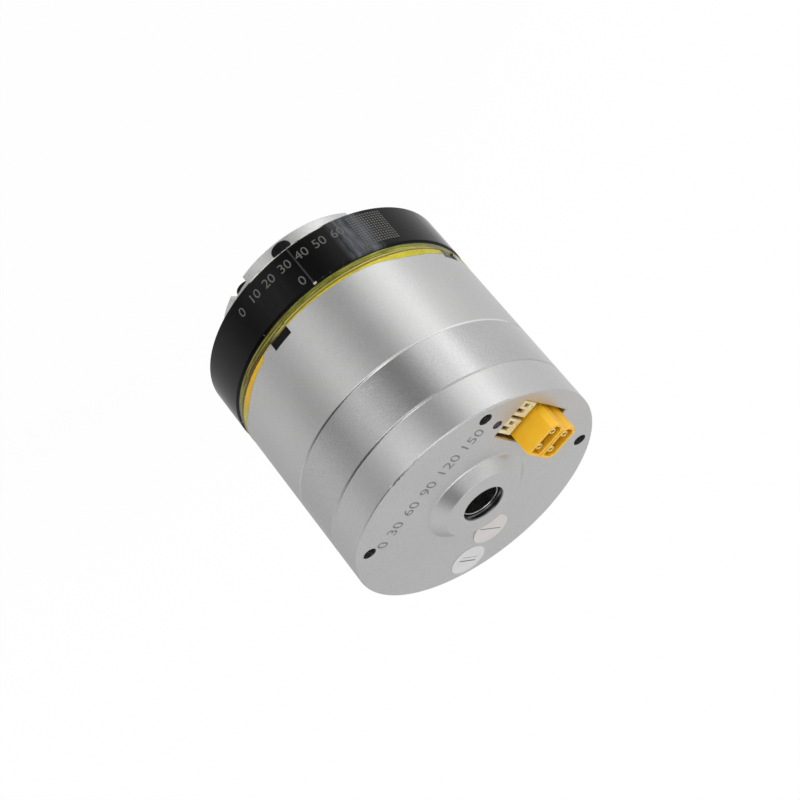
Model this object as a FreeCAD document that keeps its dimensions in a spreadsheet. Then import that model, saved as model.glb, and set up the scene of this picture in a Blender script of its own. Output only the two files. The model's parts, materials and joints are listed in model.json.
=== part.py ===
import FreeCAD, Part
import math
import os
import re

import Sketcher
from FreeCAD import Placement, Rotation, Vector

# Hollow-shaft robot joint actuator: a strain wave reducer with a crossed roller bearing in front,
# a frameless motor behind it, and the encoders and the drive electronics under the rear cover.
# Origin: centre of the output flange's face. +Z runs along the axis to the rear cover.
# Millimetres and degrees.

doc = FreeCAD.newDocument("JointActuator")
AXIS = Vector(0, 0, 1)

# Driving dimensions
sizes = {
    # casing
    "housingRadius": 34.8,
    "mainWall": 5.8,
    "mainLength": 26.2,
    "middleLength": 14.4,
    "coverLength": 10.4,
    "coverPlate": 3.0,
    "coverRound": 0.45,
    "shellWall": 2.5,
    "seamBevel": 0.3,
    "stackLipWidth": 2.5,
    "bossHeight": 2.87,
    "bossLand": 5.2,
    "bossSlope": 3.2,
    "bossRound": 0.8,
    "boreBevel": 0.2,
    "fitGap": 0.05,
    "cutMargin": 1.0,
    # black ring and the crossed roller bearing in it
    "ringProud": 0.2,
    "ringWidth": 13.45,
    "ringSetback": 0.4,
    "ringBevel": 0.4,
    "ringWall": 7.6,
    "raceGap": 0.2,
    "grooveReach": 1.8,
    "rollerPlane": 18.2,
    "rollerRadius": 1.22,
    "rollerLength": 2.36,
    "rollerCount": 36,
    "innerRingLength": 13.2,
    "innerRingWall": 7.5,
    "sealBite": 1.2,
    "sealWidth": 1.4,
    # output flange and through tube
    "outputInset": 1.6,
    "outputThickness": 9.2,
    "outputBevel": 0.3,
    "slotWidth": 6.5,
    "slotDepth": 2.0,
    "slotReach": 6.6,
    "slotAngle": 11.2,
    "outputScrewInset": 3.2,
    "outputMountInset": 3.4,
    "outputMountDepth": 7.0,
    "tapRadius": 1.25,
    "frontLip": 3.0,
    "lipRelief": 0.4,
    "tubeGap": 0.35,
    "tubeWall": 0.35,
    "tubeFlangeRise": 2.75,
    "tubeFlangeThickness": 1.2,
    "tubeRecess": 1.57,
    # strain wave gear
    "splineInset": 2.35,
    "splineWall": 6.6,
    "splineLength": 6.2,
    "meshGap": 0.3,
    "toothBand": 0.45,
    "toothLength": 5.2,
    "cupWall": 0.4,
    "cupGap": 0.6,
    "diaphragmThickness": 0.6,
    "diaphragmGap": 0.45,
    "flangeInset": 0.45,
    "flangeThickness": 1.85,
    "flangeBevel": 0.2,
    "flangeRim": 6.55,
    "flangeRelief": 1.0,
    "gasketThickness": 1.1,
    "gasketInset": 0.25,
    "gasketWidth": 4.4,
    # wave generator
    "waveRaceWall": 0.8,
    "waveBallRadius": 0.9,
    "waveBallCount": 23,
    "waveBallInset": 0.8,
    "waveInnerWall": 0.75,
    "waveRaceWidth": 4.4,
    "camOval": 0.35,
    "camWall": 4.1,
    "camLength": 4.8,
    "camGap": 1.0,
    "camFlangeRise": 3.3,
    "camFlangeThickness": 2.0,
    # shaft and its bearings
    "shaftShoulder": 0.8,
    "journalWall": 2.9,
    "shaftFrontGap": 0.2,
    "shaftRearLength": 7.6,
    "bearingSection": 4.5,
    "bearingWidth": 5.0,
    "bearingBallRadius": 1.15,
    "bearingBallCount": 14,
    "bearingShoulderGap": 0.75,
    "bearingSeatStep": 0.8,
    "bearingLip": 1.6,
    "grooveClearance": 0.06,
    # motor
    "plateThickness": 4.5,
    "notchWidth": 6.1,
    "notchDepth": 2.6,
    "lugInset": 0.5,
    "lugRoot": 2.0,
    "shaftSealWidth": 4.0,
    "stackGap": 2.6,
    "stackLength": 12.0,
    "statorDepth": 9.5,
    "yokeThickness": 4.2,
    "shoeThickness": 1.2,
    "slotOpening": 2.4,
    "toothWidth": 3.4,
    "statorTeeth": 12,
    "coilWidth": 2.3,
    "coilOverhang": 1.6,
    "coilGap": 0.2,
    "airGap": 0.5,
    "magnetThickness": 1.7,
    "magnetCount": 14,
    "magnetGapAngle": 2.4,
    "rimThickness": 2.1,
    "webThickness": 3.0,
    "sleeveWall": 1.2,
    "sleeveLength": 8.0,
    # middle housing
    "webWall": 3.0,
    "hubWall": 2.6,
    "spigotWall": 2.2,
    "pillarInset": 1.35,
    "pillarRadius": 3.2,
    "postInset": 8.3,
    "postRadius": 2.2,
    "postHeight": 6.4,
    "postHole": 0.8,
    "leadInset": 6.8,
    "leadSlotWidth": 11.0,
    "leadSlotReach": 5.4,
    "leadRadius": 0.8,
    "leadPitch": 3.2,
    # encoders and boards
    "encoderBoardMargin": 2.4,
    "encoderBoardGap": 1.35,
    "boardThickness": 1.2,
    "encoderRingWall": 3.3,
    "rotorRingThickness": 2.1,
    "rotorRingGap": 0.3,
    "outputRingThickness": 2.4,
    "outputRingLift": 1.2,
    "chipSide": 4.0,
    "chipThickness": 0.6,
    "driverBoardThickness": 1.6,
    "driverBoardGap": 0.4,
    "driverBoardCentre": 7.8,
    "driverBoardDepth": 3.8,
    "boardNotchGap": 0.5,
    "boardPostInset": 6.8,
    "boardPostRadius": 2.0,
    "processorSide": 7.0,
    "processorThickness": 1.1,
    "switchLength": 5.0,
    "switchWidth": 6.0,
    "switchThickness": 1.0,
    "capacitorRadius": 3.1,
    "capacitorHeight": 3.2,
    "capacitorInset": 9.9,
    "partMargin": 2.1,
    "linkThickness": 2.6,
    "linkLength": 9.0,
    # connector pocket and connectors
    "pocketInset": 5.4,
    "pocketLength": 11.6,
    "pocketLow": -5.5,
    "pocketHigh": 13.0,
    "pocketBevel": 0.3,
    "powerInset": 5.75,
    "powerLength": 10.2,
    "powerThickness": 5.2,
    "powerPitch": 5.55,
    "powerSide": -2.6,
    "powerRise": 5.8,
    "powerWall": 0.75,
    "powerMouthDepth": 7.6,
    "powerBevel": 1.4,
    "powerCorner": 1.5,
    "pinSpacing": 5.0,
    "pinRadius": 1.0,
    "pinRecess": 0.35,
    "pinTip": 0.7,
    "pinSlot": 0.24,
    "pinSlotDepth": 3.6,
    "headerInset": 0.75,
    "headerLength": 4.7,
    "headerPitch": 5.7,
    "headerLow": 6.5,
    "headerWidth": 6.0,
    "headerSink": 0.85,
    "headerBar": 1.0,
    "headerGap": 1.2,
    "headerGapWall": 2.3,
    "headerMouthDepth": 4.2,
    "headerWindowLength": 1.1,
    "headerWindowWidth": 1.9,
    "headerWindowStart": 0.65,
    "headerWindowDepth": 1.6,
    "headerDot": 0.45,
    "headerDotLow": 0.6,
    "headerDotDepth": 0.8,
    "signalPinSide": 0.4,
    "signalPinPitch": 1.0,
    "signalPinHeight": 3.0,
    "indicatorInset": 8.25,
    "indicatorGap": 2.83,
    "indicatorRadius": 1.3,
    "lensGap": 0.1,
    "lensSink": 0.25,
    # fasteners
    "screwRadius": 1.5,
    "screwHole": 1.6,
    "screwHeadRadius": 2.75,
    "screwHeadHeight": 2.7,
    "lowHeadHeight": 1.6,
    "ringScrewInset": 3.0,
    "ringScrewAngle": 67.0,
    "ringMountDepth": 8.0,
    "ringScrewGrip": 9.0,
    "outputScrewGrip": 4.6,
    "smallScrewRadius": 1.0,
    "smallHeadRadius": 1.9,
    "smallHeadHeight": 2.0,
    "coverHeadRadius": 1.65,
    "counterboreGap": 0.1,
    "coverScrewGrip": 7.0,
    "middleScrewInset": 1.35,
    "middleScrewGrip": 7.0,
    "boardScrewHead": 1.4,
    "boardScrewGrip": 3.0,
}

# Heights and radii that follow from them
derived = {
    # heights
    "ringFront": "outputThickness + ringSetback",
    "ringRear": "ringFront + ringWidth",
    "flangeRear": "ringRear + flangeThickness",
    "mainFront": "flangeRear + gasketThickness",
    "mainRear": "mainFront + mainLength",
    "middleRear": "mainRear + middleLength",
    "coverRear": "middleRear + coverLength",
    "bossRear": "coverRear + bossHeight",
    "plateInner": "coverRear - coverPlate",
    "tubeRear": "bossRear - tubeRecess",
    "innerRingRear": "outputThickness + innerRingLength",
    "splineRear": "outputThickness + splineLength",
    "cupFront": "outputThickness + cupGap",
    "diaphragmFront": "innerRingRear + diaphragmGap",
    "diaphragmRear": "diaphragmFront + diaphragmThickness",
    "camFront": "outputThickness + camGap",
    "camRear": "camFront + camLength",
    "waveRaceFront": "camFront + (camLength - waveRaceWidth) / 2",
    "frontBearingRear": "frontLip + bearingWidth",
    "shaftFront": "frontLip + shaftFrontGap",
    "plateRear": "flangeRear + plateThickness",
    "stackFront": "plateRear + stackGap",
    "stackRear": "stackFront + stackLength",
    "webFront": "stackFront + (stackLength - webThickness) / 2",
    "sleeveFront": "stackFront + (stackLength - sleeveLength) / 2",
    "webRear": "mainRear + webWall",
    "rearBearingFront": "mainRear + bearingSeatStep",
    "rearBearingRear": "rearBearingFront + bearingWidth",
    "shaftRear": "rearBearingFront + shaftRearLength",
    "encoderBoardFront": "webRear + postHeight",
    "encoderBoardRear": "encoderBoardFront + boardThickness",
    "driverBoardRear": "plateInner - driverBoardDepth",
    "driverBoardFront": "driverBoardRear - driverBoardThickness",
    "powerTop": "coverRear + powerRise",
    "headerTop": "coverRear - headerSink",
    # radii
    "ringRadius": "housingRadius + ringProud",
    "housingBore": "housingRadius - mainWall",
    "shellInner": "housingRadius - shellWall",
    "outerRingBore": "ringRadius - ringWall",
    "rollerCircle": "outerRingBore - raceGap",
    "innerRingOuter": "rollerCircle - raceGap",
    "innerRingBore": "innerRingOuter - innerRingWall",
    "sealOuter": "outerRingBore + sealBite",
    "outputRadius": "innerRingOuter - outputInset",
    "outputScrewCircle": "outputRadius - outputScrewInset",
    "outputMountCircle": "outputRadius - outputMountInset",
    "splineOuter": "innerRingOuter - splineInset",
    "splineBore": "splineOuter - splineWall",
    "cupOuter": "splineBore - meshGap - toothBand",
    "cupBore": "cupOuter - cupWall",
    "flangeRadius": "ringRadius - flangeInset",
    "flangeInner": "flangeRadius - flangeRim",
    "flangeStep": "flangeInner - flangeRelief",
    "gasketOuter": "flangeRadius - gasketInset",
    "gasketInner": "gasketOuter - gasketWidth",
    "waveOuterBore": "cupBore - waveRaceWall",
    "waveBallCircle": "waveOuterBore - waveBallInset",
    "waveInnerRadius": "waveBallCircle - waveBallInset",
    "camMajor": "waveInnerRadius - waveInnerWall",
    "camMinor": "camMajor - camOval",
    "shaftRadius": "camMinor - camWall",
    "camFlangeRadius": "shaftRadius + camFlangeRise",
    "bearingBore": "shaftRadius - shaftShoulder",
    "boreRadius": "bearingBore - journalWall",
    "tubeOuter": "boreRadius - tubeGap",
    "tubeBore": "tubeOuter - tubeWall",
    "tubeFlangeRadius": "tubeOuter + tubeFlangeRise",
    "bearingOuter": "bearingBore + bearingSection",
    "bearingBallCircle": "(bearingBore + bearingOuter) / 2",
    "bearingInnerShoulder": "bearingBallCircle - bearingShoulderGap",
    "bearingOuterShoulder": "bearingBallCircle + bearingShoulderGap",
    "bearingLipRadius": "bearingOuter - bearingLip",
    "bossTopRadius": "boreRadius + bossLand",
    "bossBaseRadius": "bossTopRadius + bossSlope",
    "lugRadius": "housingRadius - lugInset",
    "statorBore": "housingBore - statorDepth",
    "yokeInner": "housingBore - yokeThickness",
    "magnetOuter": "statorBore - airGap",
    "rimOuter": "magnetOuter - magnetThickness",
    "rimInner": "rimOuter - rimThickness",
    "sleeveRadius": "shaftRadius + sleeveWall",
    "hubRadius": "bearingOuter + hubWall",
    "spigotInner": "housingBore - spigotWall",
    "pillarCircle": "shellInner - pillarInset",
    "postCircle": "shellInner - postInset",
    "encoderBoardRadius": "postCircle + encoderBoardMargin",
    "leadCircle": "housingBore - leadInset",
    "rotorRingRadius": "bearingBore + encoderRingWall",
    "encoderBoardBore": "tubeOuter + encoderBoardGap",
    "driverBoardBore": "boreRadius + driverBoardCentre",
    "driverBoardRadius": "shellInner - driverBoardGap",
    "boardPostCircle": "shellInner - boardPostInset",
    "capacitorCircle": "driverBoardRadius - capacitorInset",
    "counterboreRadius": "coverHeadRadius + counterboreGap",
    "ringScrewCircle": "ringRadius - ringScrewInset",
    "middleScrewCircle": "housingBore + middleScrewInset",
    # connectors
    "pocketEnd": "housingRadius - pocketInset",
    "pocketStart": "pocketEnd - pocketLength",
    "powerCentre": "pocketEnd - powerInset",
    "headerStart": "pocketStart + headerInset",
    "indicatorX": "pocketEnd - indicatorInset",
    "indicatorY": "pocketHigh + indicatorGap",
}

# Spreadsheet with the sizes and what follows from them
sheet = doc.addObject("Spreadsheet::Sheet", "Sizes")
for row, (alias, number) in enumerate(sizes.items(), start=1):
    sheet.set(f"A{row}", alias)
    sheet.set(f"B{row}", str(number))
    sheet.setAlias(f"B{row}", alias)
for row, (alias, formula) in enumerate(derived.items(), start=1):
    sheet.set(f"D{row}", alias)
    sheet.set(f"E{row}", "=" + formula)
    sheet.setAlias(f"E{row}", alias)
scratch = doc.addObject("Spreadsheet::Sheet", "Scratch")
doc.recompute()

aliases = set(sizes) | set(derived)
pieces = []


def named(formula):
    """The formula with each alias written as a cell of the sheet."""
    word = r"[A-Za-z][A-Za-z0-9]*"
    return re.sub(word, lambda m: "Sizes." + m.group() if m.group() in aliases else m.group(), str(formula))


def size(formula):
    """The formula's number at this moment."""
    scratch.set("A1", "=" + named(formula))
    scratch.recompute()
    return float(scratch.get("A1"))


def bind(thing, **formulas):
    """Tie properties to formulas; an underscore in a name stands for a dot."""
    for key, formula in formulas.items():
        thing.setExpression(key.replace("_", "."), named(formula))
    return thing


def keep(thing, label):
    """Name a sub-part and list it for export."""
    thing.Label = label
    pieces.append(thing)
    return thing


# Sketches and features of a body

def origin_feature(body, role):
    return next(f for f in body.Origin.OriginFeatures if f.Role == role)


def new_sketch(body, name, plane):
    sketch = body.newObject("Sketcher::SketchObject", name)
    sketch.AttachmentSupport = [(origin_feature(body, plane), "")]
    sketch.MapMode = "FlatFace"
    return sketch


def place_coordinate(sketch, kind, geometry, point, formula):
    """Fix one coordinate of a sketch point by a formula, which may be zero or negative."""
    number = size(formula)
    if abs(number) < 1e-9 and str(formula) == "0":
        line = -2 if kind == "DistanceX" else -1
        sketch.addConstraint(Sketcher.Constraint("PointOnObject", geometry, point, line))
        return
    index = sketch.addConstraint(Sketcher.Constraint(kind, -1, 1, geometry, point, number))
    sketch.setExpression(f"Constraints[{index}]", named(formula))


def outline(sketch, corners):
    """A closed outline of straight sides, each corner placed by two formulas."""
    spots = [Vector(size(across), size(up), 0) for across, up in corners]
    count = len(spots)
    sides = [Part.LineSegment(spots[i], spots[(i + 1) % count]) for i in range(count)]
    sketch.addGeometry(sides, False)
    for i in range(count):
        sketch.addConstraint(Sketcher.Constraint("Coincident", i, 2, (i + 1) % count, 1))
    for i, (across, up) in enumerate(corners):
        place_coordinate(sketch, "DistanceX", i, 1, across)
        place_coordinate(sketch, "DistanceY", i, 1, up)


def turned(name, corners):
    """A body turned about the axis from an outline of (radius, height) corners."""
    body = doc.addObject("PartDesign::Body", name)
    sketch = new_sketch(body, name + "Section", "XZ_Plane")
    outline(sketch, corners)
    turn = body.newObject("PartDesign::Revolution", name + "Turn")
    turn.Profile = sketch
    turn.ReferenceAxis = (sketch, ["V_Axis"])
    turn.Angle = 360
    body.Tip = turn
    return body


def repeat(body, feature, count):
    """Repeat a feature evenly around the axis."""
    if count == 1:
        return
    pattern = body.newObject("PartDesign::PolarPattern", feature.Name + "Pattern")
    pattern.Originals = [feature]
    pattern.Axis = (origin_feature(body, "Z_Axis"), [""])
    pattern.Angle = 360
    if isinstance(count, str):
        bind(pattern, Occurrences=count)
    else:
        pattern.Occurrences = count
    body.Tip = pattern


def flat_sketch(body, name, bottom, angle):
    """A sketch square to the axis at a height, turned by an angle."""
    sketch = new_sketch(body, name + "Sketch", "XY_Plane")
    sketch.AttachmentOffset = Placement(Vector(0, 0, 0), Rotation(AXIS, size(angle)))
    bind(sketch, AttachmentOffset_Base_z=bottom, AttachmentOffset_Rotation_Angle=angle)
    return sketch


def raise_or_cut(body, name, kind, sketch, length, count):
    """Pad a sketch upwards, or pocket what stands above it, over a length."""
    feature = body.newObject("PartDesign::" + kind, name)
    feature.Profile = sketch
    feature.Type = "Length"
    feature.Reversed = kind == "Pocket"
    bind(feature, Length=length)
    body.Tip = feature
    repeat(body, feature, count)
    return feature


def round_feature(body, name, kind, radius, distance, angle, bottom, length, count=1):
    """A round pad or pocket whose centre lies at a distance and an angle from the axis."""
    sketch = flat_sketch(body, name, bottom, angle)
    sketch.addGeometry(Part.Circle(Vector(size(distance), 0, 0), AXIS, size(radius)), False)
    place_coordinate(sketch, "DistanceX", 0, 3, distance)
    place_coordinate(sketch, "DistanceY", 0, 3, "0")
    index = sketch.addConstraint(Sketcher.Constraint("Radius", 0, size(radius)))
    sketch.setExpression(f"Constraints[{index}]", named(radius))
    return raise_or_cut(body, name, kind, sketch, length, count)


def square_feature(body, name, kind, start, end, low, high, angle, bottom, length, count=1):
    """A rectangular pad or pocket from start to end outwards and from low to high across."""
    sketch = flat_sketch(body, name, bottom, angle)
    outline(sketch, [(start, low), (end, low), (end, high), (start, high)])
    return raise_or_cut(body, name, kind, sketch, length, count)


def round_edges(body, name, radius, height, edge_radius):
    """A fillet on the circular edge of a radius at a height."""
    doc.recompute()
    level, reach = size(height), size(edge_radius)
    base = body.Tip
    found = []
    for number, edge in enumerate(base.Shape.Edges, start=1):
        if isinstance(edge.Curve, Part.Circle) and abs(edge.Curve.Radius - reach) < 1e-6:
            if abs(edge.Curve.Center.z - level) < 1e-6 and abs(edge.Curve.Center.x) < 1e-6:
                found.append(f"Edge{number}")
    fillet = body.newObject("PartDesign::Fillet", name)
    fillet.Base = (base, found)
    bind(fillet, Radius=radius)
    body.Tip = fillet


def bevel_straight_edges(body, name, width, height):
    """A bevel on the straight edges that lie flat at a height."""
    doc.recompute()
    level = size(height)
    base = body.Tip
    found = []
    for number, edge in enumerate(base.Shape.Edges, start=1):
        if isinstance(edge.Curve, Part.Line) and all(abs(end.Z - level) < 1e-6 for end in edge.Vertexes):
            found.append(f"Edge{number}")
    bevel = body.newObject("PartDesign::Chamfer", name)
    bevel.Base = (base, found)
    bind(bevel, Size=width)
    body.Tip = bevel


# Primitives

def cylinder(name, radius, bottom, length, x="0", y="0"):
    solid = doc.addObject("Part::Cylinder", name)
    bind(solid, Radius=radius, Height=length)
    return bind(solid, Placement_Base_x=x, Placement_Base_y=y, Placement_Base_z=bottom)


def block(name, start, low, bottom, length, width, height):
    solid = doc.addObject("Part::Box", name)
    bind(solid, Length=length, Width=width, Height=height)
    return bind(solid, Placement_Base_x=start, Placement_Base_y=low, Placement_Base_z=bottom)


def cut(name, base, tool):
    result = doc.addObject("Part::Cut", name)
    result.Base = base
    result.Tool = tool
    return result


def ring(name, outer, inner, bottom, length):
    """A plain ring about the axis."""
    disc = cylinder(name + "Disc", outer, bottom, length)
    return cut(name, disc, cylinder(name + "Bore", inner, bottom, length))


def race(name, outer, inner, bottom, length, ball_circle, ball_radius):
    """A bearing ring with its ball groove."""
    groove = doc.addObject("Part::Torus", name + "Groove")
    bind(groove, Radius1=ball_circle, Radius2=f"{ball_radius} + grooveClearance")
    bind(groove, Placement_Base_z=f"{bottom} + {length} / 2")
    return cut(name, ring(name + "Ring", outer, inner, bottom, length), groove)


# Solids that repeat around the axis

def around(shape, count, start=0.0):
    """A compound of turned copies of a shape."""
    copies = []
    for i in range(int(count)):
        copy = shape.copy()
        copy.rotate(Vector(0, 0, 0), AXIS, start + 360.0 * i / count)
        copies.append(copy)
    return Part.makeCompound(copies)


def group(name, shape):
    thing = doc.addObject("Part::Feature", name)
    thing.Shape = shape
    return keep(thing, name)


def balls(name, circle, radius, count, height):
    ball = Part.makeSphere(size(radius), Vector(size(circle), 0, size(height)))
    return group(name, around(ball, size(count)))


def sector(inner, outer, bottom, length, sweep):
    """A solid between two radii that spans a sweep centred on the X axis."""
    half = math.radians(sweep / 2)
    inner_ends = [Vector(inner * math.cos(a), inner * math.sin(a), bottom) for a in (-half, half)]
    outer_ends = [Vector(outer * math.cos(a), outer * math.sin(a), bottom) for a in (-half, half)]
    edges = [
        Part.LineSegment(inner_ends[0], outer_ends[0]).toShape(),
        Part.Arc(outer_ends[0], Vector(outer, 0, bottom), outer_ends[1]).toShape(),
        Part.LineSegment(outer_ends[1], inner_ends[1]).toShape(),
        Part.Arc(inner_ends[1], Vector(inner, 0, bottom), inner_ends[0]).toShape(),
    ]
    return Part.Face(Part.Wire(edges)).extrude(AXIS * length)


def hexagon(radius, bottom, height):
    turns = [math.radians(60 * i) for i in range(7)]
    corners = [Vector(radius * math.cos(turn), radius * math.sin(turn), bottom) for turn in turns]
    return Part.Face(Part.makePolygon(corners)).extrude(AXIS * height)


def socket_screw(head_radius, head_height, radius, length, flip):
    """A cap screw whose head's seat is at height zero; flip points its head down."""
    head = Part.makeCylinder(head_radius, head_height)
    recess_depth = 0.6 * head_height
    head = head.cut(hexagon(0.52 * head_radius, head_height - recess_depth, recess_depth))
    screw = head.fuse(Part.makeCylinder(radius, length, Vector(0, 0, -length))).removeSplitter()
    if flip:
        screw.rotate(Vector(0, 0, 0), Vector(1, 0, 0), 180)
    return screw


def screws(name, sizes_of_screw, distance, seat, count, start, flip=False):
    screw = socket_screw(*[size(formula) for formula in sizes_of_screw], flip)
    screw.translate(Vector(size(distance), 0, size(seat)))
    return group(name, around(screw, count, size(start)))


# Output flange: a stepped disc with four open slots, mounting holes and the front bearing's seat
def output_flange():
    body = turned("OutputFlange", [
        ("tubeOuter", "tubeFlangeThickness"),
        ("tubeFlangeRadius", "tubeFlangeThickness"),
        ("tubeFlangeRadius", "0"),
        ("outputRadius - outputBevel", "0"),
        ("outputRadius", "outputBevel"),
        ("outputRadius", "outputThickness"),
        ("bearingOuter", "outputThickness"),
        ("bearingOuter", "frontLip"),
        ("bearingLipRadius", "frontLip"),
        ("bearingLipRadius", "frontLip - lipRelief"),
        ("tubeOuter", "frontLip - lipRelief"),
    ])
    square_feature(body, "FaceSlot", "Pocket", "outputRadius - slotReach", "outputRadius + slotReach",
                   "-slotWidth / 2", "slotWidth / 2", "slotAngle", "0", "slotDepth", 4)
    round_feature(body, "FlangeScrewHole", "Pocket", "screwHole", "outputScrewCircle", "slotAngle",
                  "0", "outputThickness", 4)
    round_feature(body, "FlangeMountHole", "Pocket", "tapRadius", "outputMountCircle", "slotAngle + 22.5",
                  "0", "outputMountDepth", 8)
    keep(body, "output_flange")


# Through tube: the thin hollow tube that carries the cables, flanged in front
def through_tube():
    body = turned("ThroughTube", [
        ("tubeBore", "0"),
        ("tubeFlangeRadius", "0"),
        ("tubeFlangeRadius", "tubeFlangeThickness"),
        ("tubeOuter", "tubeFlangeThickness"),
        ("tubeOuter", "tubeRear"),
        ("tubeBore", "tubeRear"),
    ])
    keep(body, "through_tube")


# Crossed roller bearing: inner ring, rollers set alternately, black outer ring and its seal
def bearing_inner_ring():
    body = turned("InnerRing", [
        ("splineOuter", "outputThickness"),
        ("innerRingOuter", "outputThickness"),
        ("innerRingOuter", "rollerPlane - grooveReach + raceGap"),
        ("rollerCircle - grooveReach", "rollerPlane"),
        ("innerRingOuter", "rollerPlane + grooveReach - raceGap"),
        ("innerRingOuter", "innerRingRear"),
        ("innerRingBore", "innerRingRear"),
        ("innerRingBore", "splineRear"),
        ("splineOuter", "splineRear"),
    ])
    round_feature(body, "InnerRingThread", "Pocket", "screwRadius", "outputScrewCircle", "slotAngle",
                  "splineRear", "outputScrewGrip", 4)
    keep(body, "bearing_inner_ring")


def crossed_rollers():
    length = size("rollerLength")
    roller = Part.makeCylinder(size("rollerRadius"), length, Vector(0, 0, -length / 2))
    count = int(size("rollerCount"))
    rollers = []
    for i in range(count):
        tilt = 45 if i % 2 else -45
        copy = roller.copy()
        copy.rotate(Vector(0, 0, 0), Vector(0, 1, 0), tilt)
        copy.translate(Vector(size("rollerCircle"), 0, size("rollerPlane")))
        copy.rotate(Vector(0, 0, 0), AXIS, 360.0 * i / count)
        rollers.append(copy)
    group("crossed_rollers", Part.makeCompound(rollers))


def outer_ring():
    body = turned("OuterRing", [
        ("sealOuter", "ringFront"),
        ("ringRadius - ringBevel", "ringFront"),
        ("ringRadius", "ringFront + ringBevel"),
        ("ringRadius", "ringRear - ringBevel"),
        ("ringRadius - ringBevel", "ringRear"),
        ("outerRingBore", "ringRear"),
        ("outerRingBore", "rollerPlane + grooveReach - raceGap"),
        ("rollerCircle + grooveReach", "rollerPlane"),
        ("outerRingBore", "rollerPlane - grooveReach + raceGap"),
        ("outerRingBore", "ringFront + sealWidth"),
        ("sealOuter", "ringFront + sealWidth"),
    ])
    round_feature(body, "RingScrewHole", "Pocket", "screwHole", "ringScrewCircle", "ringScrewAngle",
                  "ringFront", "ringWidth", 4)
    round_feature(body, "RingMountHole", "Pocket", "tapRadius", "ringScrewCircle", "ringScrewAngle + 45",
                  "ringFront", "ringMountDepth", 4)
    keep(body, "outer_ring")


def front_seal():
    keep(ring("FrontSeal", "sealOuter", "innerRingOuter + fitGap", "ringFront", "sealWidth"), "front_seal")


# Strain wave gear: circular spline on the output, flexspline held between the ring and the casing
def circular_spline():
    body = turned("CircularSpline", [
        ("splineBore", "outputThickness"),
        ("splineOuter", "outputThickness"),
        ("splineOuter", "splineRear"),
        ("splineBore", "splineRear"),
    ])
    round_feature(body, "SplineScrewHole", "Pocket", "screwHole", "outputScrewCircle", "slotAngle",
                  "outputThickness", "splineLength", 4)
    keep(body, "circular_spline")


def flexspline():
    body = turned("Flexspline", [
        ("cupBore", "cupFront"),
        ("cupOuter + toothBand", "cupFront"),
        ("cupOuter + toothBand", "cupFront + toothLength"),
        ("cupOuter", "cupFront + toothLength"),
        ("cupOuter", "diaphragmFront - diaphragmThickness"),
        ("cupOuter + diaphragmThickness", "diaphragmFront"),
        ("flangeStep", "diaphragmFront"),
        ("flangeStep", "ringRear"),
        ("flangeRadius", "ringRear"),
        ("flangeRadius", "flangeRear - flangeBevel"),
        ("flangeRadius - flangeBevel", "flangeRear"),
        ("flangeInner", "flangeRear"),
        ("flangeInner", "diaphragmRear"),
        ("cupOuter + diaphragmThickness / 2", "diaphragmRear"),
        ("cupBore", "diaphragmRear - diaphragmThickness"),
    ])
    round_feature(body, "FlexScrewHole", "Pocket", "screwHole", "ringScrewCircle", "ringScrewAngle",
                  "ringRear", "flangeThickness", 4)
    keep(body, "flexspline")


def seam_gasket():
    plain = ring("SeamGasketRing", "gasketOuter", "gasketInner", "flangeRear", "gasketThickness")
    holes = doc.addObject("Part::MultiFuse", "SeamGasketHoles")
    tools = []
    for i in range(4):
        angle = f"(ringScrewAngle + {90 * i}) * 1deg"
        tools.append(cylinder(f"SeamGasketHole{i}", "screwHole", "flangeRear", "gasketThickness",
                              f"ringScrewCircle * cos({angle})", f"ringScrewCircle * sin({angle})"))
    holes.Shapes = tools
    keep(cut("SeamGasket", plain, holes), "seam_gasket")


# Wave generator: an oval cam in a thin ball bearing
def wave_cam():
    oval = doc.addObject("Part::Ellipse", "CamOval")
    bind(oval, MajorRadius="camMajor", MinorRadius="camMinor", Placement_Base_z="camFront")
    solid = doc.addObject("Part::Extrusion", "CamBlank")
    solid.Base = oval
    solid.DirMode = "Custom"
    solid.Dir = AXIS
    solid.Solid = True
    bind(solid, LengthFwd="camLength")
    bore = cylinder("CamBore", "shaftRadius", "camFront", "camLength")
    keep(cut("WaveCam", solid, bore), "wave_cam")


def wave_bearing():
    common = ("waveRaceFront", "waveRaceWidth", "waveBallCircle", "waveBallRadius")
    keep(race("WaveInner", "waveInnerRadius", "camMajor", *common), "wave_bearing_inner")
    keep(race("WaveOuter", "cupBore - fitGap", "waveOuterBore", *common), "wave_bearing_outer")
    balls("wave_bearing_balls", "waveBallCircle", "waveBallRadius", "waveBallCount",
          "waveRaceFront + waveRaceWidth / 2")


# Rotor: hollow shaft, its two ball bearings, the magnet hub and the magnets
def rotor_shaft():
    body = turned("RotorShaft", [
        ("boreRadius", "shaftFront"),
        ("bearingBore", "shaftFront"),
        ("bearingBore", "frontBearingRear"),
        ("shaftRadius", "frontBearingRear"),
        ("shaftRadius", "camRear"),
        ("camFlangeRadius", "camRear"),
        ("camFlangeRadius", "camRear + camFlangeThickness"),
        ("shaftRadius", "camRear + camFlangeThickness"),
        ("shaftRadius", "rearBearingFront"),
        ("bearingBore", "rearBearingFront"),
        ("bearingBore", "shaftRear"),
        ("boreRadius", "shaftRear"),
    ])
    keep(body, "rotor_shaft")


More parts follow.
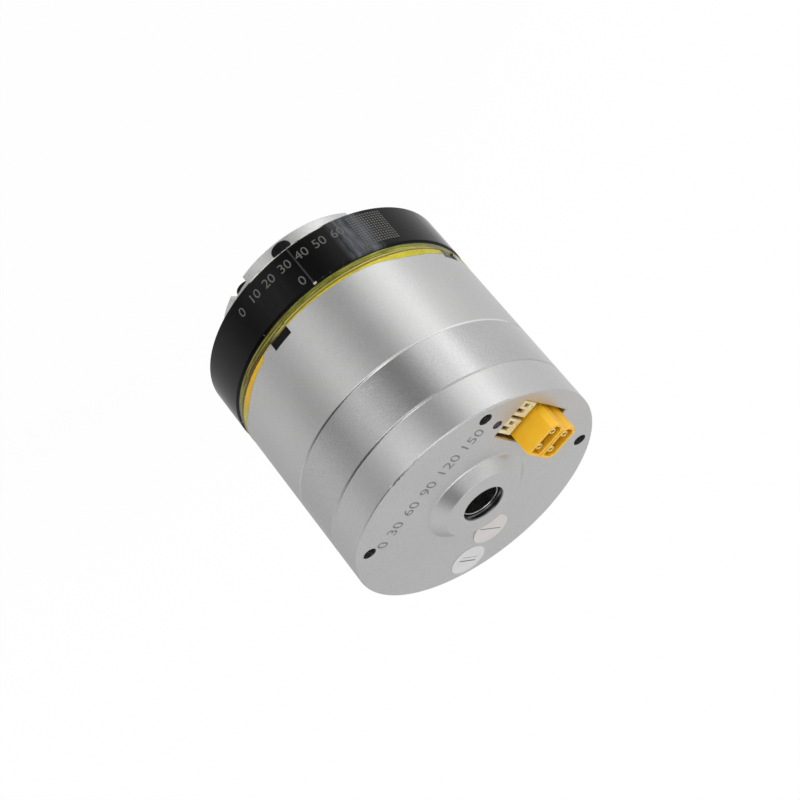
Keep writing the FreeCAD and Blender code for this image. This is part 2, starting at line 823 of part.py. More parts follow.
def shaft_bearing(name, bottom):
    common = (bottom, "bearingWidth", "bearingBallCircle", "bearingBallRadius")
    title = name.capitalize()
    inner = race(title + "BearingInner", "bearingInnerShoulder", "bearingBore", *common)
    outer = race(title + "BearingOuter", "bearingOuter", "bearingOuterShoulder", *common)
    keep(inner, name + "_bearing_inner")
    keep(outer, name + "_bearing_outer")
    balls(name + "_bearing_balls", "bearingBallCircle", "bearingBallRadius", "bearingBallCount",
          f"{bottom} + bearingWidth / 2")


def front_bearing_retainer():
    keep(ring("FrontRetainer", "bearingOuter", "bearingOuterShoulder", "frontBearingRear",
              "outputThickness - frontBearingRear"), "front_bearing_retainer")


def magnet_hub():
    body = turned("MagnetHub", [
        ("shaftRadius", "sleeveFront"),
        ("sleeveRadius", "sleeveFront"),
        ("sleeveRadius", "webFront"),
        ("rimInner", "webFront"),
        ("rimInner", "stackFront"),
        ("rimOuter", "stackFront"),
        ("rimOuter", "stackRear"),
        ("rimInner", "stackRear"),
        ("rimInner", "webFront + webThickness"),
        ("sleeveRadius", "webFront + webThickness"),
        ("sleeveRadius", "sleeveFront + sleeveLength"),
        ("shaftRadius", "sleeveFront + sleeveLength"),
    ])
    keep(body, "magnet_hub")


def rotor_magnets():
    count = size("magnetCount")
    magnet = sector(size("rimOuter"), size("magnetOuter"), size("stackFront"), size("stackLength"),
                    360 / count - size("magnetGapAngle"))
    group("rotor_magnets", around(magnet, count))


# Motor front: black plate with four lugs in the casing's notches, and the shaft's seal
def motor_plate():
    body = turned("MotorPlate", [
        ("bearingOuter", "flangeRear"),
        ("housingBore", "flangeRear"),
        ("housingBore", "plateRear"),
        ("bearingOuter", "plateRear"),
    ])
    square_feature(body, "PlateLug", "Pad", "housingBore - lugRoot", "lugRadius", "-notchWidth / 2 + fitGap",
                   "notchWidth / 2 - fitGap", "0", "mainFront", "notchDepth", 4)
    keep(body, "motor_plate")


def shaft_seal():
    keep(ring("ShaftSeal", "bearingOuter", "shaftRadius + fitGap", "flangeRear", "shaftSealWidth"),
         "shaft_seal")


def main_housing():
    body = turned("MainHousing", [
        ("housingBore", "mainFront"),
        ("housingRadius", "mainFront"),
        ("housingRadius", "mainRear - seamBevel"),
        ("housingRadius - seamBevel", "mainRear"),
        ("housingBore", "mainRear"),
        ("housingBore", "stackFront"),
        ("housingBore - stackLipWidth", "stackFront"),
        ("housingBore - stackLipWidth", "plateRear"),
        ("housingBore", "plateRear"),
    ])
    square_feature(body, "FrontNotch", "Pocket", "housingBore - cutMargin", "housingRadius + cutMargin",
                   "-notchWidth / 2", "notchWidth / 2", "0", "mainFront", "notchDepth", 4)
    round_feature(body, "MainRingThread", "Pocket", "screwRadius", "ringScrewCircle", "ringScrewAngle",
                  "mainFront", "ringScrewGrip", 4)
    round_feature(body, "MainRearThread", "Pocket", "smallScrewRadius", "middleScrewCircle", "0",
                  "mainRear - middleScrewGrip", "middleScrewGrip", 4)
    keep(body, "main_housing")


# Stator: laminated core with teeth, and a coil on each tooth
def stator_core():
    body = turned("StatorCore", [
        ("yokeInner", "stackFront"),
        ("housingBore", "stackFront"),
        ("housingBore", "stackRear"),
        ("yokeInner", "stackRear"),
    ])
    square_feature(body, "StatorTooth", "Pad", "statorBore + shoeThickness / 2", "yokeInner + cutMargin",
                   "-toothWidth / 2", "toothWidth / 2", "0", "stackFront", "stackLength", "statorTeeth")
    shoe_sketch = flat_sketch(body, "ShoeRing", "stackFront", "0")
    for i, radius in enumerate(("statorBore", "statorBore + shoeThickness")):
        shoe_sketch.addGeometry(Part.Circle(Vector(0, 0, 0), AXIS, size(radius)), False)
        shoe_sketch.addConstraint(Sketcher.Constraint("Coincident", i, 3, -1, 1))
        index = shoe_sketch.addConstraint(Sketcher.Constraint("Radius", i, size(radius)))
        shoe_sketch.setExpression(f"Constraints[{index}]", named(radius))
    raise_or_cut(body, "ShoeRing", "Pad", shoe_sketch, "stackLength", 1)
    square_feature(body, "ShoeGap", "Pocket", "statorBore - cutMargin",
                   "statorBore + shoeThickness + cutMargin", "-slotOpening / 2", "slotOpening / 2",
                   "180 / statorTeeth", "stackFront", "stackLength", "statorTeeth")
    keep(body, "stator_core")


def stator_windings():
    start = size("statorBore + shoeThickness")
    reach = size("yokeInner - coilGap") - start
    tooth, height = size("toothWidth"), size("stackLength")
    side, over = size("coilWidth"), size("coilOverhang")
    bottom = size("stackFront")
    corner = Vector(start, -tooth / 2 - side, bottom - over)
    coil = Part.makeBox(reach, tooth + 2 * side, height + 2 * over, corner)
    coil = coil.makeFillet(0.45 * side, [e for e in coil.Edges if abs(e.tangentAt(0).x) > 0.9])
    coil = coil.cut(Part.makeBox(reach, tooth, height, Vector(start, -tooth / 2, bottom)))
    coil = coil.common(Part.makeCylinder(start + reach, height + 2 * over, Vector(0, 0, bottom - over)))
    group("stator_windings", around(coil, size("statorTeeth")))


def phase_leads():
    bottom = size("stackRear + coilOverhang")
    lead = Part.makeCylinder(size("leadRadius"), size("driverBoardFront") - bottom, Vector(0, 0, bottom))
    leads = []
    for i in (-1, 0, 1):
        copy = lead.copy()
        copy.translate(Vector(i * size("leadPitch"), -size("leadCircle"), 0))
        leads.append(copy)
    group("phase_leads", Part.makeCompound(leads))


# Middle housing: web with the rear bearing's seat, four pillars and the encoder board's posts
def middle_housing():
    body = turned("MiddleHousing", [
        ("bearingLipRadius", "mainRear"),
        ("spigotInner", "mainRear"),
        ("spigotInner", "stackRear"),
        ("housingBore", "stackRear"),
        ("housingBore", "mainRear"),
        ("housingRadius - seamBevel", "mainRear"),
        ("housingRadius", "mainRear + seamBevel"),
        ("housingRadius", "middleRear - seamBevel"),
        ("housingRadius - seamBevel", "middleRear"),
        ("shellInner", "middleRear"),
        ("shellInner", "webRear"),
        ("hubRadius", "webRear"),
        ("hubRadius", "rearBearingRear"),
        ("bearingOuter", "rearBearingRear"),
        ("bearingOuter", "rearBearingFront"),
        ("bearingLipRadius", "rearBearingFront"),
    ])
    round_feature(body, "MiddlePillar", "Pad", "pillarRadius", "pillarCircle", "45",
                  "webRear - webWall / 2", "middleRear - webRear + webWall / 2", 4)
    round_feature(body, "EncoderPost", "Pad", "postRadius", "postCircle", "90",
                  "webRear - webWall / 2", "postHeight + webWall / 2", 3)
    round_feature(body, "PillarThread", "Pocket", "smallScrewRadius", "pillarCircle", "45",
                  "middleRear - coverScrewGrip", "coverScrewGrip", 4)
    round_feature(body, "PostThread", "Pocket", "postHole", "postCircle", "90",
                  "encoderBoardFront - boardScrewGrip", "boardScrewGrip", 3)
    round_feature(body, "MiddleScrewHole", "Pocket", "smallScrewRadius + fitGap", "middleScrewCircle", "0",
                  "mainRear", "webWall", 4)
    square_feature(body, "LeadSlot", "Pocket", "leadCircle - leadSlotReach / 2",
                   "leadCircle + leadSlotReach / 2", "-leadSlotWidth / 2", "leadSlotWidth / 2", "270",
                   "mainRear", "webWall", 1)
    keep(body, "middle_housing")


# Encoders: a magnet ring on the rotor, one on the through tube, and the board between them
def encoder_rings():
    keep(ring("RotorEncoderRing", "rotorRingRadius", "bearingBore", "rearBearingRear + rotorRingGap",
              "rotorRingThickness"), "rotor_encoder_ring")
    keep(ring("OutputEncoderRing", "rotorRingRadius", "tubeOuter", "encoderBoardRear + outputRingLift",
              "outputRingThickness"), "output_encoder_ring")


def encoder_board():
    body = turned("EncoderBoard", [
        ("encoderBoardBore", "encoderBoardFront"),
        ("encoderBoardRadius", "encoderBoardFront"),
        ("encoderBoardRadius", "encoderBoardRear"),
        ("encoderBoardBore", "encoderBoardRear"),
    ])
    round_feature(body, "EncoderBoardHole", "Pocket", "postHole", "postCircle", "90",
                  "encoderBoardFront", "boardThickness", 3)
    square_feature(body, "EncoderLeadNotch", "Pocket", "leadCircle - leadSlotReach / 2",
                   "encoderBoardRadius + cutMargin", "-leadSlotWidth / 2", "leadSlotWidth / 2", "270",
                   "encoderBoardFront", "boardThickness", 1)
    keep(body, "encoder_board")


def encoder_chips():
    start, low = "rotorRingRadius - encoderRingWall", "-chipSide / 2"
    outside = ("chipSide", "chipSide", "chipThickness")
    front = block("FrontChip", start, low, "encoderBoardFront - chipThickness", *outside)
    rear = block("RearChip", start, low, "encoderBoardRear", *outside)
    pair = doc.addObject("Part::Compound", "EncoderChips")
    pair.Links = [front, rear]
    keep(pair, "encoder_chips")


# Drive electronics: round board on posts under the cover, with its parts
def driver_board():
    body = turned("DriverBoard", [
        ("driverBoardBore", "driverBoardFront"),
        ("driverBoardRadius", "driverBoardFront"),
        ("driverBoardRadius", "driverBoardRear"),
        ("driverBoardBore", "driverBoardRear"),
    ])
    round_feature(body, "BoardPillarNotch", "Pocket", "pillarRadius + boardNotchGap", "pillarCircle", "45",
                  "driverBoardFront", "driverBoardThickness", 4)
    round_feature(body, "DriverBoardHole", "Pocket", "postHole", "boardPostCircle", "90",
                  "driverBoardFront", "driverBoardThickness", 3)
    keep(body, "driver_board")


def driver_parts():
    top, bottom = size("driverBoardRear"), size("driverBoardFront")
    inner = size("driverBoardBore + partMargin")
    side, height = size("processorSide"), size("processorThickness")
    solids = [Part.makeBox(side, side, height, Vector(-side / 2, inner, bottom - height))]
    length, width, height = size("switchLength"), size("switchWidth"), size("switchThickness")
    switch = Part.makeBox(length, width, height, Vector(inner, -width / 2, bottom - height))
    foot = Vector(size("capacitorCircle"), 0, top)
    capacitor = Part.makeCylinder(size("capacitorRadius"), size("capacitorHeight"), foot)
    switches = (-75, -45, -15, 15, 45, 165, 195)
    capacitors = (120, 150, 180, 240, 270, 300)
    for part, angles in ((switch, switches), (capacitor, capacitors)):
        for angle in angles:
            copy = part.copy()
            copy.rotate(Vector(0, 0, 0), AXIS, angle)
            solids.append(copy)
    group("driver_parts", Part.makeCompound(solids))


def board_link():
    keep(block("BoardLink", "-encoderBoardRadius + encoderBoardMargin", "-linkLength / 2", "encoderBoardRear",
               "linkThickness", "linkLength", "driverBoardFront - encoderBoardRear"), "board_link")


# Rear cover: plate with a coned boss, connector pocket and counterbored screw pillars
def rear_cover():
    body = turned("RearCover", [
        ("boreRadius", "plateInner"),
        ("shellInner", "plateInner"),
        ("shellInner", "middleRear"),
        ("housingRadius - seamBevel", "middleRear"),
        ("housingRadius", "middleRear + seamBevel"),
        ("housingRadius", "coverRear"),
        ("bossBaseRadius", "coverRear"),
        ("bossTopRadius", "bossRear"),
        ("boreRadius + boreBevel", "bossRear"),
        ("boreRadius", "bossRear - boreBevel"),
    ])
    round_edges(body, "CoverRimRound", "coverRound", "coverRear", "housingRadius")
    round_edges(body, "BossFootRound", "bossRound", "coverRear", "bossBaseRadius")
    round_feature(body, "CoverPillar", "Pad", "pillarRadius", "pillarCircle", "45",
                  "middleRear", "plateInner - middleRear + coverPlate / 2", 4)
    round_feature(body, "BoardPost", "Pad", "boardPostRadius", "boardPostCircle", "90",
                  "driverBoardRear", "plateInner - driverBoardRear + coverPlate / 2", 3)
    round_feature(body, "BoardPostThread", "Pocket", "postHole", "boardPostCircle", "90",
                  "driverBoardRear", "boardScrewGrip", 3)
    round_feature(body, "CoverScrewHole", "Pocket", "smallScrewRadius + fitGap", "pillarCircle", "45",
                  "middleRear", "coverLength", 4)
    round_feature(body, "Counterbore", "Pocket", "counterboreRadius", "pillarCircle", "45",
                  "plateInner", "coverPlate", 4)
    square_feature(body, "ConnectorPocket", "Pocket", "pocketStart", "pocketEnd", "pocketLow", "pocketHigh",
                   "0", "plateInner", "coverPlate", 1)
    bevel_straight_edges(body, "PocketBevel", "pocketBevel", "coverRear")
    indicator = flat_sketch(body, "IndicatorHole", "plateInner", "0")
    centre = Vector(size("indicatorX"), size("indicatorY"), 0)
    indicator.addGeometry(Part.Circle(centre, AXIS, size("indicatorRadius")), False)
    place_coordinate(indicator, "DistanceX", 0, 3, "indicatorX")
    place_coordinate(indicator, "DistanceY", 0, 3, "indicatorY")
    index = indicator.addConstraint(Sketcher.Constraint("Radius", 0, size("indicatorRadius")))
    indicator.setExpression(f"Constraints[{index}]", named("indicatorRadius"))
    raise_or_cut(body, "IndicatorHole", "Pocket", indicator, "coverPlate", 1)
    keep(body, "rear_cover")


# Light pipe that carries the board's indicator light up to the cover
def indicator_lens():
    keep(cylinder("IndicatorLens", "indicatorRadius - lensGap", "driverBoardRear",
                  "coverRear - lensSink - driverBoardRear", "indicatorX", "indicatorY"), "indicator_lens")


# Power connectors: two upright shells side by side, each with two pins in its mouth; one has a cut corner
def power_shell(name, centre, corner):
    body = doc.addObject("PartDesign::Body", name)
    half, side = "powerLength / 2", "powerThickness / 2"
    sketch = flat_sketch(body, name + "Base", "driverBoardRear", "0")
    outline(sketch, low_corner(f"powerCentre - {half}", f"{centre} - {side}", corner) + [
        (f"powerCentre + {half} - powerBevel", f"{centre} - {side}"),
        (f"powerCentre + {half}", f"{centre} - {side} + powerBevel"),
        (f"powerCentre + {half}", f"{centre} + {side} - powerBevel"),
        (f"powerCentre + {half} - powerBevel", f"{centre} + {side}"),
        (f"powerCentre - {half}", f"{centre} + {side}"),
    ])
    raise_or_cut(body, name + "Shell", "Pad", sketch, "powerTop - driverBoardRear", 1)
    mouth = flat_sketch(body, name + "Inside", "powerTop - powerMouthDepth", "0")
    bevel = "powerBevel - powerWall * (2 - sqrt(2))"
    inner = corner and "powerCorner - powerWall * (2 - sqrt(2))"
    start = (f"powerCentre - {half} + powerWall", f"{centre} - {side} + powerWall")
    outline(mouth, low_corner(*start, inner) + [
        (f"powerCentre + {half} - powerWall - ({bevel})", f"{centre} - {side} + powerWall"),
        (f"powerCentre + {half} - powerWall", f"{centre} - {side} + powerWall + {bevel}"),
        (f"powerCentre + {half} - powerWall", f"{centre} + {side} - powerWall - ({bevel})"),
        (f"powerCentre + {half} - powerWall - ({bevel})", f"{centre} + {side} - powerWall"),
        (f"powerCentre - {half} + powerWall", f"{centre} + {side} - powerWall"),
    ])
    raise_or_cut(body, name + "Mouth", "Pocket", mouth, "powerMouthDepth", 1)
    return body


def low_corner(x, y, corner):
    """The first corner of a shell's outline, or the two points of its cut when it has one."""
    if not corner:
        return [(x, y)]
    return [(x, f"{y} + ({corner})"), (f"{x} + ({corner})", y)]


def power_connectors():
    keep(power_shell("PowerA", "(powerSide + powerPitch)", ""), "power_connector_a")
    keep(power_shell("PowerB", "powerSide", "powerCorner"), "power_connector_b")
    pins = []
    for side in (size("powerSide"), size("powerSide + powerPitch")):
        for step in (-0.5, 0.5):
            pin = slotted_pin()
            pin.translate(Vector(size("powerCentre") + step * size("pinSpacing"), side, 0))
            pins.append(pin)
    group("power_pins", Part.makeCompound(pins))


def slotted_pin():
    """A round pin with a rounded tip, split by two crossed slots so that it springs."""
    bottom, top = size("powerTop - powerMouthDepth"), size("powerTop - pinRecess")
    radius, slot, depth = size("pinRadius"), size("pinSlot"), size("pinSlotDepth")
    pin = Part.makeCylinder(radius, top - bottom, Vector(0, 0, bottom))
    tip = [edge for edge in pin.Edges if edge.BoundBox.ZMin > top - depth]
    pin = pin.makeFillet(size("pinTip"), tip)
    across = Part.makeBox(2 * radius, slot, depth, Vector(-radius, -slot / 2, top - depth))
    along = Part.makeBox(slot, 2 * radius, depth, Vector(-slot / 2, -radius, top - depth))
    return pin.cut(across).cut(along)


# Signal headers: in each, pins in a slot behind a bar, and a block with a latch window and a key hole
def signal_header(name, start):
    shell = block(name + "Shell", start, "headerLow", "driverBoardRear", "headerLength", "headerWidth",
                  "headerTop - driverBoardRear")
    slot = block(name + "Slot", f"{start} + headerBar", "headerLow + headerGapWall",
                 "headerTop - headerMouthDepth", "headerGap", "headerWidth - headerGapWall",
                 "headerMouthDepth")
    window_start = f"{start} + headerBar + headerGap + headerWindowStart"
    middle = "headerLow + headerWidth / 2"
    window = block(name + "Window", window_start, f"{middle} - headerWindowWidth / 2",
                   "headerTop - headerWindowDepth", "headerWindowLength", "headerWindowWidth",
                   "headerWindowDepth")
    dot = block(name + "Dot", f"{window_start} + (headerWindowLength - headerDot) / 2",
                "headerLow + headerDotLow", "headerTop - headerDotDepth", "headerDot", "headerDot",
                "headerDotDepth")
    openings = doc.addObject("Part::MultiFuse", name + "Openings")
    openings.Shapes = [slot, window, dot]
    return cut(name, shell, openings)


def signal_headers():
    keep(signal_header("SignalA", "headerStart"), "signal_header_a")
    keep(signal_header("SignalB", "headerStart + headerPitch"), "signal_header_b")
    bottom = size("headerTop - headerMouthDepth")
    pins = []
    side, tall = size("signalPinSide"), size("signalPinHeight")
    low = size("headerLow + headerGapWall + (headerWidth - headerGapWall - signalPinSide) / 2")
    for start in (size("headerStart"), size("headerStart + headerPitch")):
        middle = start + size("headerBar + (headerGap - signalPinSide) / 2")
        for i in range(4):
            across = low + size("signalPinPitch") * (i - 1.5)
            pins.append(Part.makeBox(side, side, tall, Vector(middle, across, bottom)))
    group("signal_pins", Part.makeCompound(pins))


# Fasteners, each kind and place one group
def fasteners():
    large = ("screwHeadRadius", "screwHeadHeight", "screwRadius")
    small = ("smallHeadRadius", "smallHeadHeight", "smallScrewRadius")
    cover = ("coverHeadRadius", "smallHeadHeight", "smallScrewRadius")
    board = ("smallHeadRadius", "boardScrewHead", "postHole")
    screws("ring_screws", (*large, "mainFront + ringScrewGrip - ringFront"), "ringScrewCircle",
           "ringFront", 4, "ringScrewAngle", flip=True)
    screws("output_screws", ("screwHeadRadius", "lowHeadHeight", "screwRadius",
                             "splineRear + outputScrewGrip - slotDepth"),
           "outputScrewCircle", "slotDepth", 4, "slotAngle", flip=True)
    screws("middle_screws", (*small, "webWall + middleScrewGrip"), "middleScrewCircle", "webRear", 4, "0")
    screws("cover_screws", (*cover, "plateInner - middleRear + coverScrewGrip"), "pillarCircle",
           "plateInner", 4, "45")
    screws("encoder_screws", (*board, "boardThickness + boardScrewGrip"), "postCircle",
           "encoderBoardRear", 3, "90")
    screws("driver_screws", (*board, "driverBoardThickness + boardScrewGrip"), "boardPostCircle",
           "driverBoardFront", 3, "90", flip=True)


def build():
    output_flange()
    through_tube()
    bearing_inner_ring()
    crossed_rollers()
    outer_ring()
    front_seal()
    circular_spline()
    flexspline()
    seam_gasket()
    wave_cam()
    wave_bearing()
    rotor_shaft()
    shaft_bearing("front", "frontLip")
    shaft_bearing("rear", "rearBearingFront")
    front_bearing_retainer()
    magnet_hub()
    rotor_magnets()
    motor_plate()
    shaft_seal()
    main_housing()
    stator_core()
    stator_windings()
    phase_leads()
    middle_housing()
    encoder_rings()
    encoder_board()
    encoder_chips()
    driver_board()
    driver_parts()
    board_link()
    rear_cover()
    indicator_lens()
    power_connectors()
    signal_headers()
    fasteners()


def check():
    """Stop on a failed object, an empty sub-part or a pocket that cuts nothing."""
    for thing in doc.Objects:
        if "Invalid" in thing.State or "Error" in thing.State:
            raise RuntimeError(f"{thing.Label}: {thing.State}")
        if thing.TypeId == "PartDesign::Pocket":
            if thing.BaseFeature.Shape.Volume - thing.Shape.Volume < 1e-3:
                raise RuntimeError(f"{thing.Label} cuts nothing")
    for piece in pieces:
        if piece.Shape.isNull() or not piece.Shape.isValid():
            raise RuntimeError(f"{piece.Label} has no valid shape")


build()
doc.removeObject("Scratch")
doc.recompute()
check()
os.makedirs("parts", exist_ok=True)
for piece in pieces:
    piece.Shape.exportStep(f"parts/{piece.Label}.step")
    print(f"{piece.Label}: {len(piece.Shape.Solids)} solids, {piece.Shape.Volume:.1f} mm3")
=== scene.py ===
import json
import math

import bpy
import numpy as np
from mathutils import Matrix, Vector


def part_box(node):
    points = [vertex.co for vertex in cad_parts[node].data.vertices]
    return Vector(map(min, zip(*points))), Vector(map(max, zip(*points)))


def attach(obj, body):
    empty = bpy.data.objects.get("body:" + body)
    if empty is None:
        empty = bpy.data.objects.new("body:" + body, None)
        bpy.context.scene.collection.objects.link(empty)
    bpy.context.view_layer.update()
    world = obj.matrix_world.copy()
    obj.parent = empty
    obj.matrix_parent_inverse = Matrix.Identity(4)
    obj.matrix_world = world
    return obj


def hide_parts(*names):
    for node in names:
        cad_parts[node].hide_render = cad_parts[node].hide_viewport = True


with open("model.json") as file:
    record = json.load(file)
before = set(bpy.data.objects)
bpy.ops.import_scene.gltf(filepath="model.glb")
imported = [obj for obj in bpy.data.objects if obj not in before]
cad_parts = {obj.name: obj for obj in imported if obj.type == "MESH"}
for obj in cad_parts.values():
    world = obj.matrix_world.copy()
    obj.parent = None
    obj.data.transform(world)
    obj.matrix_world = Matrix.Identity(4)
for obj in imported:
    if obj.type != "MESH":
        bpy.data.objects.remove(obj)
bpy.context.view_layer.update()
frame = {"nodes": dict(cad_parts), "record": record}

# Robot joint actuator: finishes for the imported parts, and the small pieces that the parts leave out.
# Metres. The axis is Z, with the output flange at the bottom and the rear cover on top.

nodes = frame["nodes"]
mm = 0.001
print("frame loaded:", len(nodes), "nodes")


# Shader nodes in one call: a socket as an input is linked, a plain value is set
def addNode(tree, kind, inputs=None, **settings):
    node = tree.nodes.new(kind)
    for key, value in settings.items():
        setattr(node, key, value)
    for key, value in (inputs or {}).items():
        if isinstance(value, bpy.types.NodeSocket):
            tree.links.new(value, node.inputs[key])
        else:
            node.inputs[key].default_value = value
    return node


def calculate(tree, operation, first, second=0.0, third=0.0):
    return addNode(tree, "ShaderNodeMath", {0: first, 1: second, 2: third}, operation=operation).outputs[0]


def times(tree, first, second):
    return calculate(tree, "MULTIPLY", first, second)


def offset(tree, value, middle):
    # how far a value is from a middle
    return calculate(tree, "ABSOLUTE", calculate(tree, "SUBTRACT", value, middle))


def rampBetween(tree, value, low, high):
    # 0 below low, 1 above high, smooth between them
    node = addNode(tree, "ShaderNodeMapRange", {"Value": value, "From Min": low, "From Max": high},
                   interpolation_type="SMOOTHSTEP")
    return node.outputs["Result"]


def mixColours(tree, factor, first, second):
    node = tree.nodes.new("ShaderNodeMix")
    node.data_type = "RGBA"
    for key, value in (("Factor_Float", factor), ("A_Color", first), ("B_Color", second)):
        socket = next(s for s in node.inputs if s.identifier == key)
        if isinstance(value, bpy.types.NodeSocket):
            tree.links.new(value, socket)
        else:
            socket.default_value = value if key == "Factor_Float" else (*value[:3], 1.0)
    return next(s for s in node.outputs if s.identifier == "Result_Color")


def noiseValue(tree, vector, sizeInMm, detail, roughness=0.55):
    # a noise whose blobs are about sizeInMm across
    node = addNode(tree, "ShaderNodeTexNoise", {"Vector": vector, "Scale": 1000.0 / sizeInMm,
                                                "Detail": detail, "Roughness": roughness})
    return node.outputs["Fac"]


def newMaterial(name):
    finish = bpy.data.materials.new(name)
    finish.use_nodes = True
    return finish, finish.node_tree


def newFinish(name):
    finish, tree = newMaterial(name)
    shader = tree.nodes["Principled BSDF"]
    place = addNode(tree, "ShaderNodeTexCoord").outputs["Object"]
    parts = addNode(tree, "ShaderNodeSeparateXYZ", {0: place}).outputs
    squares = calculate(tree, "ADD", times(tree, parts["X"], parts["X"]), times(tree, parts["Y"], parts["Y"]))
    radius = calculate(tree, "SQRT", squares)
    at = {"place": place, "x": parts["X"], "y": parts["Y"], "z": parts["Z"], "r": radius}
    return finish, tree, shader, at


def feed(tree, shader, **sockets):
    # an underscore in a socket's name stands for a space
    for key, value in sockets.items():
        socket = shader.inputs[key.replace("_", " ")]
        if isinstance(value, bpy.types.NodeSocket):
            tree.links.new(value, socket)
        else:
            socket.default_value = value


# What a finish has unless its look says otherwise: sizes and depth in mm; tones is the part of the noise over
# which dark turns to light
plainLook = {"patchSize": 12.0, "grainSize": 0.25, "grainShare": 0.4, "tones": (0.3, 0.7), "turnSize": 0.12,
             "roughnessSpread": 0.08, "metallic": 0.0, "bumpDepth": 0.02}
# how far red, green and blue light spreads inside the nylon, in metres
scatterReach = (0.0012, 0.0007, 0.0003)


def surfaceFinish(name, look):
    """A finish with a fine grain, broad patches and, where turned is set, lathe marks around the axis.
    Colour = mix of dark and light by grainShare * grain + (1 - grainShare) * patches; roughness = its middle
    + spread * (patches - 0.5); bump = grain + turned * lathe marks."""
    look = {**plainLook, **look}
    finish, tree, shader, at = newFinish(name)
    patches = noiseValue(tree, at["place"], look["patchSize"], 4.0)
    grain = noiseValue(tree, at["place"], look["grainSize"], 2.0)
    share = look["grainShare"]
    tone = calculate(tree, "MULTIPLY_ADD", grain, share, times(tree, patches, 1 - share))
    colour = mixColours(tree, rampBetween(tree, tone, *look["tones"]), look["dark"], look["light"])
    height = grain
    if "turned" in look:
        lathe = addNode(tree, "ShaderNodeCombineXYZ", {0: at["r"], 1: at["z"]}).outputs[0]
        marks = noiseValue(tree, lathe, look["turnSize"], 1.0)
        height = calculate(tree, "ADD", grain, times(tree, marks, look["turned"]))
    spread = look["roughnessSpread"]
    roughness = calculate(tree, "MULTIPLY_ADD", patches, spread, look["roughness"] - 0.5 * spread)
    bump = addNode(tree, "ShaderNodeBump", {"Height": height, "Strength": look["bump"],
                                            "Distance": look["bumpDepth"] * mm})
    feed(tree, shader, Base_Color=colour, Roughness=roughness, Normal=bump.outputs[0],
         Metallic=look["metallic"])
    for key in ("Coat Weight", "Coat Roughness", "IOR", "Specular IOR Level", "Subsurface Weight"):
        if key in look:
            shader.inputs[key].default_value = look[key]
    if "Subsurface Weight" in look:
        feed(tree, shader, Subsurface_Radius=scatterReach, Subsurface_Scale=1.0)
    return finish, tree, shader, at


# Finishes of the record's slots that need nothing more
finishLooks = {
    "hardened_steel": {"dark": (0.36, 0.355, 0.33), "light": (0.56, 0.55, 0.53), "metallic": 1.0,
                       "roughness": 0.24, "turned": 0.6, "bump": 0.2},
    "shaft_steel": {"dark": (0.48, 0.48, 0.48), "light": (0.64, 0.64, 0.63), "metallic": 1.0,
                    "roughness": 0.3, "turned": 1.0, "bump": 0.3},
    "screw_black": {"dark": (0.006, 0.006, 0.007), "light": (0.008, 0.008, 0.009), "IOR": 1.14,
                    "roughness": 0.14, "patchSize": 1.6, "grainSize": 0.12, "bump": 0.3},
    "lens_smoke": {"dark": (0.016, 0.016, 0.018), "light": (0.024, 0.024, 0.027), "roughness": 0.30,
                   "patchSize": 0.8, "bump": 0.05, "Specular IOR Level": 0.25},
    "seal_rubber": {"dark": (0.010, 0.010, 0.010), "light": (0.028, 0.028, 0.028), "roughness": 0.62,
                    "patchSize": 3.0, "bump": 0.4},
    "magnet_nickel": {"dark": (0.50, 0.49, 0.45), "light": (0.68, 0.67, 0.63), "metallic": 1.0,
                      "roughness": 0.2, "bump": 0.1},
    "copper_wire": {"dark": (0.35, 0.10, 0.03), "light": (0.70, 0.28, 0.10), "metallic": 0.8,
                    "roughness": 0.28, "patchSize": 0.7, "bump": 0.5},
    "lead_sleeve": {"dark": (0.35, 0.02, 0.02), "light": (0.55, 0.05, 0.04), "roughness": 0.4, "bump": 0.2},
    "chip_black": {"dark": (0.012, 0.012, 0.013), "light": (0.030, 0.030, 0.032), "roughness": 0.5,
                   "patchSize": 2.0, "bump": 0.35},
    "pin_gold": {"dark": (0.86, 0.60, 0.18), "light": (1.0, 0.78, 0.32), "metallic": 1.0,
                 "roughness": 0.20, "patchSize": 1.6, "bump": 0.02},
    "pin_tin": {"dark": (0.55, 0.55, 0.53), "light": (0.80, 0.80, 0.78), "metallic": 1.0,
                "roughness": 0.25, "patchSize": 0.8, "bump": 0.1},
    "connector_amber": {"dark": (1.0, 0.50, 0.010), "light": (1.0, 0.58, 0.024), "roughness": 0.36,
                        "patchSize": 3.0, "grainSize": 0.12, "bump": 0.2, "Subsurface Weight": 0.2,
                        "IOR": 1.5},
    "core_steel": {"dark": (0.10, 0.10, 0.10), "light": (0.34, 0.34, 0.34), "metallic": 0.9,
                   "roughness": 0.45, "patchSize": 0.5, "bump": 0.5},
    "board_green": {"dark": (0.004, 0.055, 0.022), "light": (0.012, 0.10, 0.04), "roughness": 0.32,
                    "patchSize": 4.0, "bump": 0.2, "Coat Weight": 0.3, "Coat Roughness": 0.2},
}

